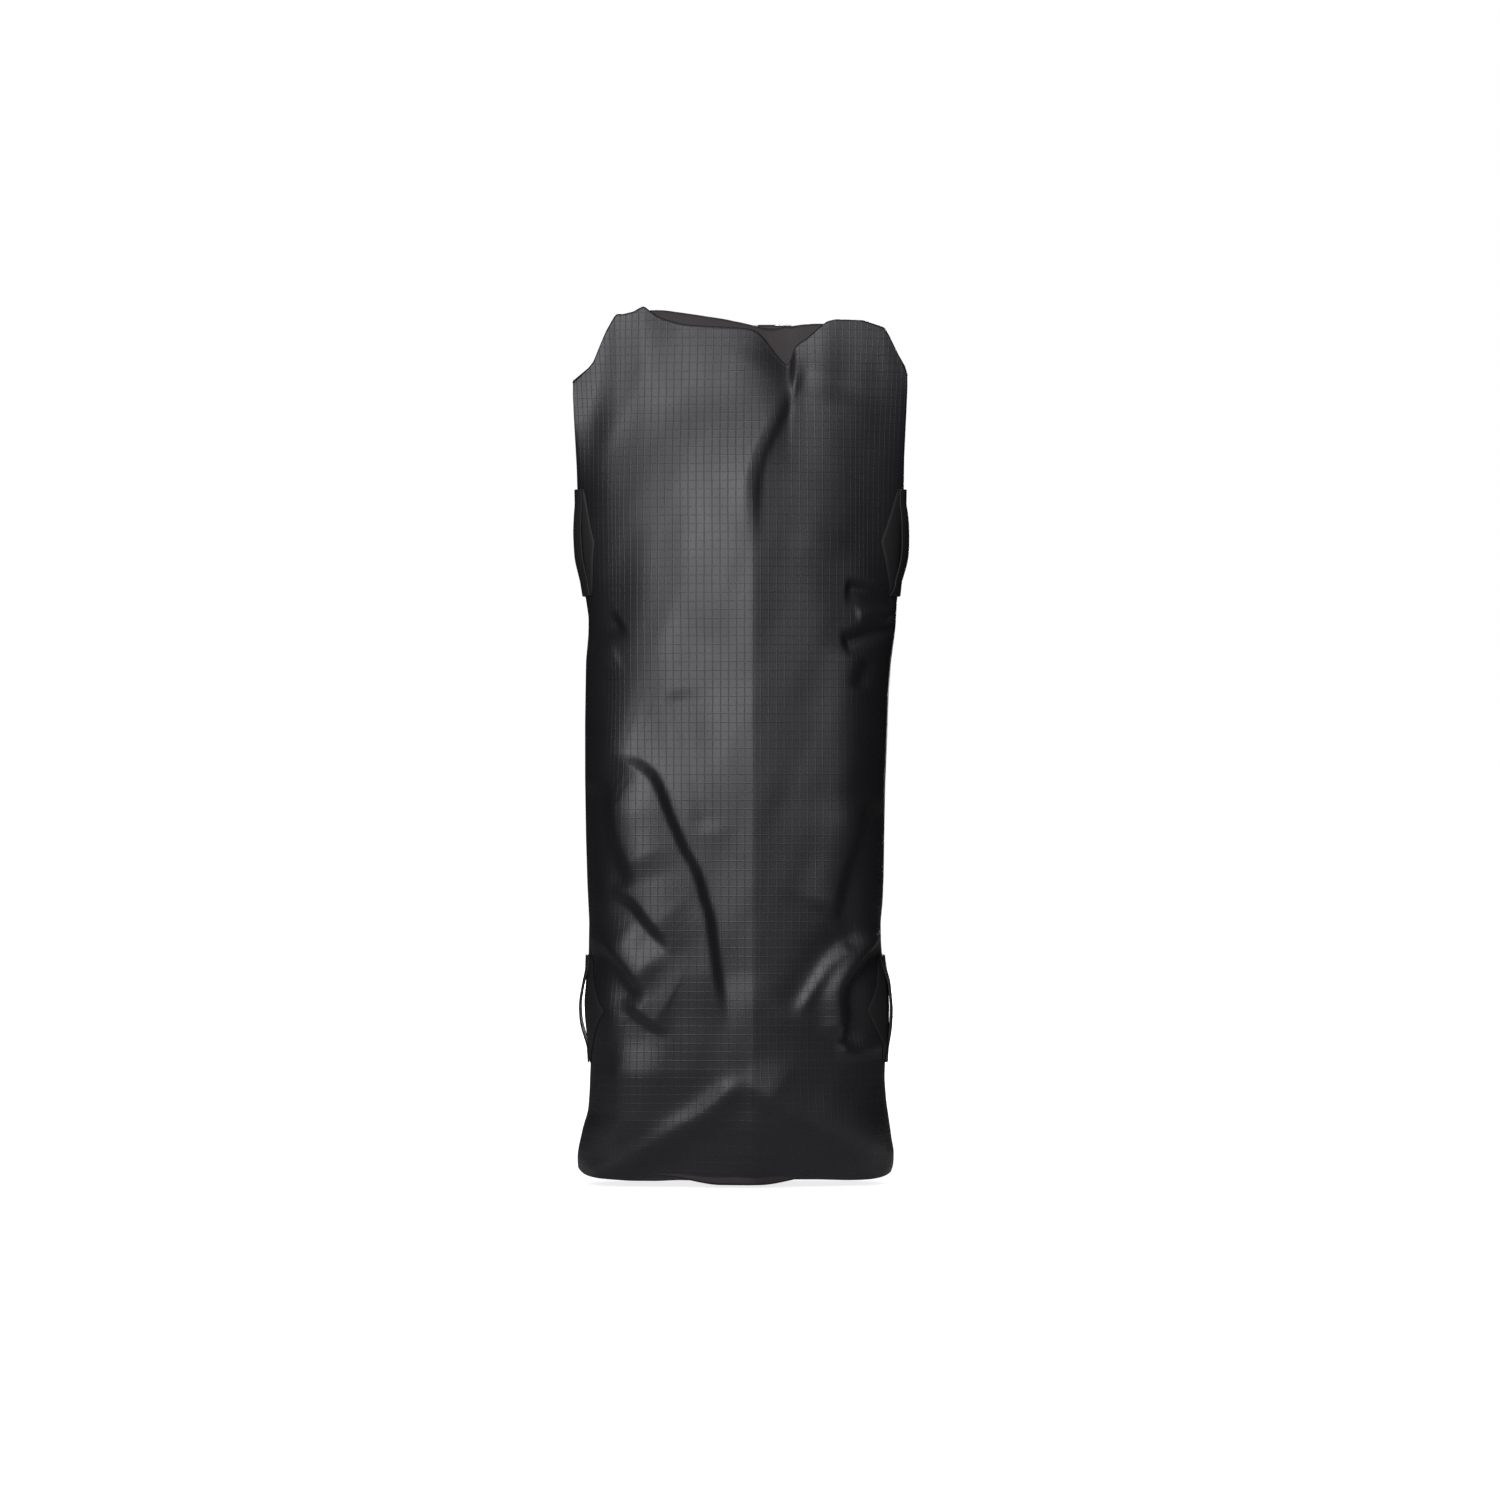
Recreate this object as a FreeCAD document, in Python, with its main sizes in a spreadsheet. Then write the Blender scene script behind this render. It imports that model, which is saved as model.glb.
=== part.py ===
"""A tall roll-top changing bag of coated ripstop cloth, standing on its base pan.

The frame has its origin on the ground under the middle of the base, +Z up and +X to the right of the
plain near side, which faces -Y. The rolled closure, its webbing and its side-release buckle are on +Y.
Every size is a cell of the spreadsheet, in millimetres, and every sketch is bound to those cells.
"""

import FreeCAD
import Part
import Sketcher

import math
import os

# ---------------------------------------------------------------- driving dimensions

SIZES = {
    # the bag as a whole
    "bag_height": 655.0,
    "cloth_wall": 0.8,
    "layer_gap": 0.25,
    "seam_offset": 11.0,
    # base pan
    "base_floor": 1.2,
    "base_rim_height": 12.0,
    "base_edge_round": 2.0,
    "inner_rim_height": 21.5,
    # heights of the wall's stations, from the ground
    "hem_height": 5.0,
    "heel_height": 22.0,
    "ankle_height": 50.0,
    "shin_height": 88.0,
    "knee_height": 180.0,
    "belly_height": 300.0,
    # drops of the upper stations, from the fold at the mouth
    "rib_drop": 213.0,
    "chest_drop": 120.0,
    "shoulder_drop": 46.0,
    # width, depth and half of the side's flat stretch at each station
    "hem_width": 232.0, "hem_depth": 72.0, "hem_flat": 14.0,
    "heel_width": 237.0, "heel_depth": 78.0, "heel_flat": 14.0,
    "ankle_width": 228.0, "ankle_depth": 98.0, "ankle_flat": 13.0,
    "shin_width": 219.0, "shin_depth": 112.0, "shin_flat": 12.0,
    "knee_width": 217.0, "knee_depth": 122.0, "knee_flat": 12.0,
    "belly_width": 225.0, "belly_depth": 124.0, "belly_flat": 12.0,
    "rib_width": 232.0, "rib_depth": 104.0, "rib_flat": 12.0,
    "chest_width": 245.0, "chest_depth": 76.0, "chest_flat": 11.5,
    "shoulder_width": 250.0, "shoulder_depth": 30.0, "shoulder_flat": 4.0,
    "fold_width": 203.0, "fold_depth": 9.0, "fold_flat": 1.0,
    # inner layers
    "tape_width": 18.0,
    "tape_thickness": 0.3,
    "lining_thickness": 0.4,
    # lash points: a welded patch and a standing loop
    "tab_length": 80.0,
    "tab_end_width": 24.0,
    "patch_width": 84.0,
    "patch_thickness": 0.9,
    "low_tab_height": 91.5,
    "high_tab_drop": 210.0,
    "loop_width": 22.0,
    "loop_thickness": 1.3,
    "loop_foot": 13.0,
    "loop_rise": 6.0,
    # rolled closure
    "roll_shift": 6.0,
    "roll_half_length": 94.0,
    "roll_top_drop": 6.0,
    "roll_bottom_drop": 44.0,
    "roll_ply": 1.2,
    "roll_air": 0.9,
    "roll_seat": 0.8,
    "roll_lap": 1.5,
    "stiffener_half_length": 86.0,
    "stiffener_thickness": 1.1,
    "stiffener_height": 28.0,
    "stiffener_corner": 3.0,
    # webbing
    "webbing_width": 25.0,
    "webbing_thickness": 1.4,
    "webbing_turn": 98.0,
    # side-release buckle
    "buckle_thickness": 11.0,
    "buckle_seat": 0.6,
    "socket_length": 28.0,
    "socket_half_width": 16.5,
    "mouth_half_width": 12.8,
    "mouth_half_height": 3.4,
    "mouth_depth": 25.0,
    "window_start": 9.0,
    "window_length": 13.0,
    "bar_radius": 2.2,
    "bar_gap": 0.3,
    "rail_width": 3.2,
    "plug_half_width": 16.0,
    "plug_base_length": 8.5,
    "plug_tail_length": 10.6,
    "plug_face_gap": 0.5,
    "crossbar_length": 3.0,
    "crossbar_height": 2.9,
    "tongue_length": 17.0,
    "tongue_half_width": 2.8,
    "prong_half_height": 2.8,
    "prong_inner": 6.2,
    "prong_outer": 9.4,
    "prong_length": 20.5,
    "barb_start": 10.0,
    "barb_reach": 15.5,
    "barb_flat": 7.0,
    "corner_round": 2.5,
}

OUT = "parts"
doc = FreeCAD.newDocument("changing_bag")


# ---------------------------------------------------------------- sizes and the sheet

class Size:
    """A length that carries both its value and the sheet expression that gives it."""

    def __init__(self, value, text):
        self.value = float(value)
        self.text = text

    @staticmethod
    def of(other):
        return other if isinstance(other, Size) else Size(other, repr(float(other)))

    def join(self, other, sign, value):
        return Size(value, f"({self.text} {sign} {Size.of(other).text})")

    def __add__(self, other):
        return self.join(other, "+", self.value + Size.of(other).value)

    def __sub__(self, other):
        return self.join(other, "-", self.value - Size.of(other).value)

    def __mul__(self, other):
        return self.join(other, "*", self.value * Size.of(other).value)

    def __truediv__(self, other):
        return self.join(other, "/", self.value / Size.of(other).value)

    def __neg__(self):
        return Size(0.0, "0") - self


def root(size):
    return Size(math.sqrt(size.value), f"sqrt({size.text})")


def fill_sheet():
    """Puts every size in the sheet as a plain number with an alias."""
    sheet = doc.addObject("Spreadsheet::Sheet", "sizes")
    for row, (name, value) in enumerate(SIZES.items(), start=1):
        sheet.set(f"A{row}", name)
        sheet.set(f"B{row}", str(value))
        sheet.setAlias(f"B{row}", name)
    doc.recompute()
    return {name: Size(sheet.get(name), f"sizes.{name}") for name in SIZES}


S = fill_sheet()
GAP = S["layer_gap"]
WALL = S["cloth_wall"]
NIL = Size(0.0, "0")


# ---------------------------------------------------------------- sketch and body helpers

def new_body(label):
    body = doc.addObject("PartDesign::Body", label)
    body.Label = label
    return body


def new_sketch(body, plane, offset=NIL):
    """A sketch on one of the body's own origin planes, moved along the plane's normal."""
    sketch = body.newObject("Sketcher::SketchObject", f"{body.Name}_sketch")
    support = next(o for o in body.Origin.OriginFeatures if o.Role == f"{plane}_Plane")
    sketch.AttachmentSupport = [(support, "")]
    sketch.MapMode = "FlatFace"
    sketch.setExpression("AttachmentOffset.Base.z", offset.text)
    return sketch


def bind(sketch, kind, edge, end, size):
    index = sketch.addConstraint(Sketcher.Constraint(kind, edge, end, size.value))
    sketch.setExpression(f"Constraints[{index}]", size.text)


def outline(sketch, corners, arcs=None):
    """A closed outline through corners. arcs maps a corner's number to (centre, turn) for the arc that
    runs from it to the next corner: turn is 1 for counter-clockwise and -1 for clockwise."""
    arcs = arcs or {}
    first = sketch.GeometryCount
    count = len(corners)
    points = [FreeCAD.Vector(x.value, y.value, 0) for x, y in corners]
    for i, start in enumerate(points):
        end = points[(i + 1) % count]
        if i not in arcs:
            sketch.addGeometry(Part.LineSegment(start, end))
            continue
        (cx, cy), turn = arcs[i]
        centre = FreeCAD.Vector(cx.value, cy.value, 0)
        low, high = (start, end) if turn > 0 else (end, start)
        angles = [math.atan2(p.y - centre.y, p.x - centre.x) for p in (low, high)]
        if angles[1] <= angles[0]:
            angles[1] += 2 * math.pi
        circle = Part.Circle(centre, FreeCAD.Vector(0, 0, 1), (start - centre).Length)
        sketch.addGeometry(Part.ArcOfCircle(circle, *angles))
    ends = [(2, 1) if i in arcs and arcs[i][1] < 0 else (1, 2) for i in range(count)]
    for i in range(count):
        j = (i + 1) % count
        sketch.addConstraint(
            Sketcher.Constraint("Coincident", first + i, ends[i][1], first + j, ends[j][0]))
    for i, (x, y) in enumerate(corners):
        bind(sketch, "DistanceX", first + i, ends[i][0], x)
        bind(sketch, "DistanceY", first + i, ends[i][0], y)
    for i, ((cx, cy), _) in arcs.items():
        chord = points[(i + 1) % count] - points[i]
        if abs(chord.x) > abs(chord.y):
            bind(sketch, "DistanceY", first + i, 3, cy)
        else:
            bind(sketch, "DistanceX", first + i, 3, cx)


def rectangle(sketch, x_low, x_high, y_low, y_high):
    outline(sketch, [(x_low, y_low), (x_high, y_low), (x_high, y_high), (x_low, y_high)])


def rounded_rectangle(sketch, half_x, half_y, radius):
    """A rectangle about the sketch's origin with quarter-round corners."""
    in_x, in_y = half_x - radius, half_y - radius
    corners = [(-in_x, -half_y), (in_x, -half_y), (half_x, -in_y), (half_x, in_y),
               (in_x, half_y), (-in_x, half_y), (-half_x, in_y), (-half_x, -in_y)]
    arcs = {1: ((in_x, -in_y), 1), 3: ((in_x, in_y), 1),
            5: ((-in_x, in_y), 1), 7: ((-in_x, -in_y), 1)}
    outline(sketch, corners, arcs)


def circle(sketch, x, y, radius):
    edge = sketch.addGeometry(
        Part.Circle(FreeCAD.Vector(x.value, y.value, 0), FreeCAD.Vector(0, 0, 1), radius.value))
    bind(sketch, "DistanceX", edge, 3, x)
    bind(sketch, "DistanceY", edge, 3, y)
    index = sketch.addConstraint(Sketcher.Constraint("Radius", edge, radius.value))
    sketch.setExpression(f"Constraints[{index}]", radius.text)


def pad(body, sketch, length, symmetric=False, backwards=False):
    feature = body.newObject("PartDesign::Pad", f"{body.Name}_pad")
    feature.Profile = sketch
    feature.SideType = "Symmetric" if symmetric else "One side"
    feature.Reversed = backwards
    feature.setExpression("Length", length.text)
    return feature


def pocket(body, sketch, length, symmetric=False, backwards=False):
    """Cuts the sketch's outline out of the body, and stops if nothing was cut."""
    doc.recompute()
    before = body.Shape.Volume
    feature = body.newObject("PartDesign::Pocket", f"{body.Name}_pocket")
    feature.Profile = sketch
    feature.SideType = "Symmetric" if symmetric else "One side"
    feature.Reversed = backwards
    feature.setExpression("Length", length.text)
    doc.recompute()
    if feature.Shape.Volume > before - 1e-3:
        raise RuntimeError(f"a pocket of {body.Label} cuts nothing")
    return feature


def loft(body, sketches):
    feature = body.newObject("PartDesign::AdditiveLoft", f"{body.Name}_loft")
    feature.Profile = sketches[0]
    feature.Sections = sketches[1:]
    feature.Ruled = True
    return feature


def round_edges(body, radius, wanted):
    """Rounds the edges of the body for which wanted(edge) is true."""
    doc.recompute()
    tip = body.Tip
    names = [f"Edge{i}" for i, e in enumerate(tip.Shape.Edges, start=1) if wanted(e)]
    feature = body.newObject("PartDesign::Fillet", f"{body.Name}_fillet")
    feature.Base = (tip, names)
    feature.setExpression("Radius", radius.text)
    return feature


# ---------------------------------------------------------------- the wall's stations

class Station:
    """One level of the wall: a rounded rectangle about the Z axis."""

    def __init__(self, name, height):
        self.height = height
        self.half_width = S[f"{name}_width"] / 2
        self.half_depth = S[f"{name}_depth"] / 2
        self.flat = S[f"{name}_flat"]
        self.set_corner()

    def set_corner(self):
        self.corner = self.half_depth - self.flat
        self.straight = self.half_width - self.corner

    def towards(self, other, height):
        """The level of the ruled wall between this station and other, at a height."""
        share = (height - self.height) / (other.height - self.height)
        level = Station.__new__(Station)
        level.height = height
        for name in ("half_width", "half_depth", "flat"):
            mine, theirs = getattr(self, name), getattr(other, name)
            setattr(level, name, mine + (theirs - mine) * share)
        level.set_corner()
        return level


FOLD_HEIGHT = S["bag_height"] - S["fold_depth"] / 2 - GAP
STATIONS = {
    name: Station(name, height)
    for name, height in {
        "hem": S["hem_height"],
        "heel": S["heel_height"],
        "ankle": S["ankle_height"],
        "shin": S["shin_height"],
        "knee": S["knee_height"],
        "belly": S["belly_height"],
        "rib": FOLD_HEIGHT - S["rib_drop"],
        "chest": FOLD_HEIGHT - S["chest_drop"],
        "shoulder": FOLD_HEIGHT - S["shoulder_drop"],
        "fold": FOLD_HEIGHT,
    }.items()
}


def between(first, last):
    """The stations from first to last, both included."""
    names = list(STATIONS)
    return [STATIONS[n] for n in names[names.index(first):names.index(last) + 1]]


def half_ring(level, outer, inner, side):
    """Half of the wall on one side of the plane y = 0 (side is 1 for +Y, -1 for -Y), between two inward
    offsets from the outer surface."""
    def corner_points(inset, sign_x):
        edge, face = level.half_width - inset, level.half_depth - inset
        return [(edge * sign_x, GAP / 2 * side), (edge * sign_x, level.flat * side),
                (level.straight * sign_x, face * side)]

    left_out, right_out = corner_points(outer, -1), corner_points(outer, 1)
    left_in, right_in = corner_points(inner, -1), corner_points(inner, 1)
    corners = left_out + right_out[::-1] + right_in + left_in[::-1]
    left = (-level.straight, level.flat * side)
    right = (level.straight, level.flat * side)
    arcs = {1: (left, -side), 3: (right, -side), 7: (right, side), 9: (left, side)}
    return corners, arcs


def quarter_ring(level, outer, inner, sign_x):
    """The near wall from the centre seam round to the side, left (-1) or right (1)."""
    seam = S["seam_offset"] + GAP / 2 * sign_x
    edge_out, face_out = level.half_width - outer, level.half_depth - outer
    edge_in, face_in = level.half_width - inner, level.half_depth - inner
    corners = [(seam, -face_out), (level.straight * sign_x, -face_out),
               (edge_out * sign_x, -level.flat), (edge_out * sign_x, -GAP / 2),
               (edge_in * sign_x, -GAP / 2), (edge_in * sign_x, -level.flat),
               (level.straight * sign_x, -face_in), (seam, -face_in)]
    centre = (level.straight * sign_x, -level.flat)
    return corners, {1: (centre, sign_x), 5: (centre, -sign_x)}


def side_ring(level, outer, inner, sign_x):
    """A C round one side, from the near face to the far face. Offsets outward are negative."""
    def run(inset):
        edge, face = level.half_width - inset, level.half_depth - inset
        return [(level.straight * sign_x, -face), (edge * sign_x, -level.flat),
                (edge * sign_x, level.flat), (level.straight * sign_x, face)]

    corners = run(outer) + run(inner)[::-1]
    near = (level.straight * sign_x, -level.flat)
    far = (level.straight * sign_x, level.flat)
    arcs = {0: (near, sign_x), 2: (far, sign_x), 4: (far, -sign_x), 6: (near, -sign_x)}
    return corners, arcs


def lofted_wall(label, levels, shape):
    """A body through one outline per level; shape(level) gives the corners and arcs."""
    body = new_body(label)
    sketches = []
    for level in levels:
        sketch = new_sketch(body, "XY", level.height)
        outline(sketch, *shape(level))
        sketches.append(sketch)
    loft(body, sketches)
    return body


# ---------------------------------------------------------------- cloth walls, tapes and lining

TAPE_OUT = WALL + GAP
TAPE_IN = TAPE_OUT + S["tape_thickness"]
LINING_OUT = TAPE_IN + GAP
LINING_IN = LINING_OUT + S["lining_thickness"]


def make_walls():
    """The outer cloth: two near panels that meet at the centre seam, and one far panel."""
    levels = between("hem", "fold")
    lofted_wall("back_panel_left", levels, lambda v: quarter_ring(v, NIL, WALL, -1))
    lofted_wall("back_panel_right", levels, lambda v: quarter_ring(v, NIL, WALL, 1))
    lofted_wall("front_panel", levels, lambda v: half_ring(v, NIL, WALL, 1))


def make_lining():
    """The light-tight inner bag, in two halves with a base pan of its own."""
    levels = between("heel", "shoulder")
    lofted_wall("lining_back", levels, lambda v: half_ring(v, LINING_OUT, LINING_IN, -1))
    lofted_wall("lining_front", levels, lambda v: half_ring(v, LINING_OUT, LINING_IN, 1))


def make_tapes():
    """Heat-sealed tapes inside the outer cloth, over the centre seam and both side seams."""
    half = S["tape_width"] / 2

    def on_centre_seam(level):
        low, high = -level.half_depth + TAPE_OUT, -level.half_depth + TAPE_IN
        left, right = S["seam_offset"] - half, S["seam_offset"] + half
        return [(left, low), (right, low), (right, high), (left, high)], {}

    def on_side_seam(level, sign_x):
        out, into = (level.half_width - TAPE_OUT) * sign_x, (level.half_width - TAPE_IN) * sign_x
        return [(out, -half), (out, half), (into, half), (into, -half)], {}

    lofted_wall("centre_seam_tape", between("heel", "shoulder"), on_centre_seam)
    for name, sign_x in (("left", -1), ("right", 1)):
        lofted_wall(f"side_seam_tape_{name}", between("heel", "chest"),
                    lambda v, s=sign_x: on_side_seam(v, s))


def make_pan(label, half_width, half_depth, corner, floor, top, thickness):
    """An open pan with an upturned rim: floor is the level of its underside, top its rim's edge."""
    body = new_body(label)
    outside = new_sketch(body, "XY", floor)
    rounded_rectangle(outside, half_width, half_depth, corner)
    pad(body, outside, top - floor)
    inside = new_sketch(body, "XY", top)
    rounded_rectangle(inside, half_width - thickness, half_depth - thickness, corner - thickness)
    pocket(body, inside, top - floor - thickness)
    return body


def make_base():
    """The base pan that the bag stands on, and the lining's pan inside it."""
    hem = STATIONS["hem"]
    inset = WALL + GAP
    floor = S["base_floor"]
    body = make_pan("base_panel", hem.half_width - inset, hem.half_depth - inset,
                    hem.corner - inset, NIL, S["base_rim_height"], floor)
    round_edges(body, S["base_edge_round"],
                lambda e: e.BoundBox.ZMax < 1e-6 and e.BoundBox.ZMin > -1e-6)
    inset = inset + floor + GAP
    make_pan("lining_base", hem.half_width - inset, hem.half_depth - inset, hem.corner - inset,
             floor + GAP, S["inner_rim_height"], S["lining_thickness"])


# ---------------------------------------------------------------- lash points

def make_patch(label, low_station, high_station, bottom, sign_x):
    """A welded patch, a long hexagon wrapped round the side of the bag."""
    levels = [low_station.towards(high_station, z) for z in (bottom, bottom + S["tab_length"])]
    body = lofted_wall(label, levels,
                       lambda v: side_ring(v, -(GAP + S["patch_thickness"]), -GAP, sign_x))
    middle, top = bottom + S["tab_length"] / 2, bottom + S["tab_length"]
    half, end = S["patch_width"] / 2, S["tab_end_width"] / 2
    reach = low_station.half_depth + high_station.half_depth
    trim = new_sketch(body, "YZ")
    rectangle(trim, -reach, reach, bottom - GAP, top + GAP)
    outline(trim, [(end, bottom), (half, middle), (end, top), (-end, top), (-half, middle),
                   (-end, bottom)])
    pocket(body, trim, (low_station.half_width + high_station.half_width) * 2, symmetric=True)


def make_loop(label, low_station, high_station, bottom, sign_x):
    """A standing loop over the patch. It is drawn upright with its foot at the origin and its outside
    on +X, then tilted to lie along the side."""
    top = bottom + S["tab_length"]
    low = low_station.towards(high_station, bottom)
    high = low_station.towards(high_station, top)
    lean = high.half_width - low.half_width
    length = root(lean * lean + S["tab_length"] * S["tab_length"])
    foot, rise, thick = S["loop_foot"], S["loop_rise"], S["loop_thickness"]
    half_span = length / 2 - foot
    radius = (half_span * half_span + rise * rise) / (rise * 2)
    centre = (rise - radius, length / 2)
    crown = (rise, length / 2)
    outer_crown = (rise + thick, length / 2)
    outer_span = root((radius + thick) * (radius + thick)
                      - (radius - rise + thick) * (radius - rise + thick))
    outer_low, outer_high = length / 2 - outer_span, length / 2 + outer_span
    body = new_body(label)
    sketch = new_sketch(body, "XZ")
    corners = [(NIL, NIL), (thick, NIL), (thick, outer_low), outer_crown, (thick, outer_high),
               (thick, length), (NIL, length), (NIL, length - foot), crown, (NIL, foot)]
    arcs = {2: (centre, 1), 3: (centre, 1), 7: (centre, -1), 8: (centre, -1)}
    outline(sketch, corners, arcs)
    pad(body, sketch, S["loop_width"], symmetric=True)
    stand_off = GAP * 2 + S["patch_thickness"]
    angle = math.degrees(math.atan2(lean.value, S["tab_length"].value))
    tilt = FreeCAD.Rotation(FreeCAD.Vector(0, 1, 0), angle * sign_x)
    if sign_x < 0:
        tilt = tilt * FreeCAD.Rotation(FreeCAD.Vector(0, 0, 1), 180)
    body.Placement = FreeCAD.Placement(FreeCAD.Vector(0, 0, 0), tilt)
    body.setExpression("Placement.Base.x", ((low.half_width + stand_off) * sign_x).text)
    body.setExpression("Placement.Base.z", bottom.text)


def make_lash_points():
    """Two lash points on each side, low and high."""
    rows = {
        "lower": (STATIONS["shin"], STATIONS["knee"], S["low_tab_height"]),
        "upper": (STATIONS["rib"], STATIONS["chest"], FOLD_HEIGHT - S["high_tab_drop"]),
    }
    for row, (low_station, high_station, bottom) in rows.items():
        for side, sign_x in (("left", -1), ("right", 1)):
            make_patch(f"lash_patch_{row}_{side}", low_station, high_station, bottom, sign_x)
            make_loop(f"lash_loop_{row}_{side}", low_station, high_station, bottom, sign_x)


# ---------------------------------------------------------------- rolled closure

# The roll is drawn about the axis that it folds on: local +Y is outward and local -Z runs down the far
# shoulder. Placing it turns it about X by the shoulder's slope and moves it a little to the right.
FOLD_RADIUS = STATIONS["fold"].half_depth
AXIS_HEIGHT = FOLD_HEIGHT + GAP
SHOULDER_RUN = STATIONS["shoulder"].half_depth - STATIONS["fold"].half_depth
SHOULDER_LENGTH = root(SHOULDER_RUN * SHOULDER_RUN + S["shoulder_drop"] * S["shoulder_drop"])
SHOULDER_FACE = (FOLD_RADIUS * S["shoulder_drop"] - GAP * SHOULDER_RUN) / SHOULDER_LENGTH

PLY = S["roll_ply"]
INNER_PLY = SHOULDER_FACE + S["roll_seat"]
CORE_PLY = INNER_PLY + PLY + S["roll_air"]
FIRST_STRIP = CORE_PLY + PLY + GAP
SECOND_STRIP = FIRST_STRIP + S["stiffener_thickness"] + GAP
OUTER_PLY = SECOND_STRIP + S["stiffener_thickness"] + S["roll_air"]
ROLL_FACE = OUTER_PLY + PLY
ROLL_MIDDLE = -(S["roll_top_drop"] + S["roll_bottom_drop"]) / 2 - S["roll_air"]
STRIP_MIDDLE_Y = SECOND_STRIP - GAP / 2
BUCKLE_MIDDLE_Y = ROLL_FACE + S["buckle_seat"] + S["buckle_thickness"] / 2


def place_on_roll(body):
    slope = math.degrees(math.atan2(SHOULDER_RUN.value, S["shoulder_drop"].value))
    body.Placement = FreeCAD.Placement(
        FreeCAD.Vector(0, 0, 0), FreeCAD.Rotation(FreeCAD.Vector(1, 0, 0), slope))
    body.setExpression("Placement.Base.x", S["roll_shift"].text)
    body.setExpression("Placement.Base.z", AXIS_HEIGHT.text)


def make_collar_fold():
    """The cloth that goes over the mouth: half a tube between the near and far panels' top edges."""
    body = new_body("collar_fold")
    sketch = new_sketch(body, "YZ")
    inner = FOLD_RADIUS - WALL
    corners = [(-FOLD_RADIUS, NIL), (-inner, NIL), (inner, NIL), (FOLD_RADIUS, NIL)]
    outline(sketch, corners, {1: ((NIL, NIL), -1), 3: ((NIL, NIL), 1)})
    pad(body, sketch, S["fold_width"], symmetric=True)
    body.setExpression("Placement.Base.z", AXIS_HEIGHT.text)


def make_roll():
    """The mouth's two plies rolled up three times, as one cloth spiral along X."""
    body = new_body("rolled_collar")
    sketch = new_sketch(body, "YZ")
    flap = FOLD_RADIUS + GAP
    lap, top, bottom = S["roll_lap"], -S["roll_top_drop"], -S["roll_bottom_drop"]
    turn_top = top - S["roll_top_drop"]
    core_end = bottom + PLY
    low_centre = (INNER_PLY + ROLL_FACE) / 2
    high_centre = (INNER_PLY + CORE_PLY + PLY) / 2
    corners = [
        (flap + PLY, lap), (flap + PLY, NIL), (ROLL_FACE, top), (ROLL_FACE, bottom),
        (INNER_PLY, bottom), (INNER_PLY, turn_top), (CORE_PLY + PLY, turn_top),
        (CORE_PLY + PLY, core_end), (CORE_PLY, core_end), (CORE_PLY, turn_top),
        (INNER_PLY + PLY, turn_top), (INNER_PLY + PLY, bottom), (OUTER_PLY, bottom),
        (OUTER_PLY, top), (flap, NIL), (flap, lap),
    ]
    arcs = {3: ((low_centre, bottom), -1), 5: ((high_centre, turn_top), -1),
            9: ((high_centre, turn_top), 1), 11: ((low_centre, bottom), 1)}
    outline(sketch, corners, arcs)
    pad(body, sketch, S["roll_half_length"] * 2, symmetric=True)
    place_on_roll(body)


def make_stiffeners():
    """Two plastic strips at the core of the roll, one from each hem of the mouth."""
    for label, face in (("mouth_stiffener_inner", FIRST_STRIP),
                        ("mouth_stiffener_outer", SECOND_STRIP)):
        body = new_body(label)
        sketch = new_sketch(body, "XZ", -face)
        half_x, half_z = S["stiffener_half_length"], S["stiffener_height"] / 2
        low, high = ROLL_MIDDLE - half_z, ROLL_MIDDLE + half_z
        rectangle(sketch, -half_x, half_x, low, high)
        pad(body, sketch, S["stiffener_thickness"], backwards=True)
        round_edges(body, S["stiffener_corner"],
                    lambda e: e.BoundBox.XLength < 1e-6 and e.BoundBox.ZLength < 1e-6)
        place_on_roll(body)


# ---------------------------------------------------------------- webbing and buckle

RING_INNER = S["bar_radius"] + S["bar_gap"]
RING_OUTER = RING_INNER + S["webbing_thickness"]
SOCKET_BAR = S["socket_length"] + RING_OUTER + S["bar_gap"]
PLUG_BACK = S["plug_face_gap"] + S["plug_base_length"]
PLUG_BAR = PLUG_BACK + RING_OUTER + S["bar_gap"]
PLUG_END = PLUG_BAR + S["plug_tail_length"]


def make_strap(label, sign_x, bar):
    """One webbing: from the stiffeners' end it turns round the roll's end and comes back along the
    roll's face to a buckle bar, which it goes round."""
    body = new_body(label)
    sketch = new_sketch(body, "XY", ROLL_MIDDLE)
    half = S["webbing_thickness"] / 2
    root_x = S["stiffener_half_length"] + GAP
    turn = S["webbing_turn"]
    end = bar + (RING_INNER + RING_OUTER) / 2
    low, high = STRIP_MIDDLE_Y, BUCKLE_MIDDLE_Y
    centre = (turn * sign_x, (low + high) / 2)
    corners = [(root_x * sign_x, low - half), (turn * sign_x, low - half),
               (turn * sign_x, high + half), (end * sign_x, high + half),
               (end * sign_x, high - half), (turn * sign_x, high - half),
               (turn * sign_x, low + half), (root_x * sign_x, low + half)]
    outline(sketch, corners, {1: (centre, sign_x), 5: (centre, -sign_x)})
    pad(body, sketch, S["webbing_width"], symmetric=True)
    ring = new_sketch(body, "XY", ROLL_MIDDLE)
    circle(ring, bar * sign_x, BUCKLE_MIDDLE_Y, RING_OUTER)
    pad(body, ring, S["webbing_width"], symmetric=True)
    hole = new_sketch(body, "XY", ROLL_MIDDLE)
    circle(hole, bar * sign_x, BUCKLE_MIDDLE_Y, RING_INNER)
    pocket(body, hole, S["webbing_width"] * 2, symmetric=True)
    place_on_roll(body)


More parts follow.
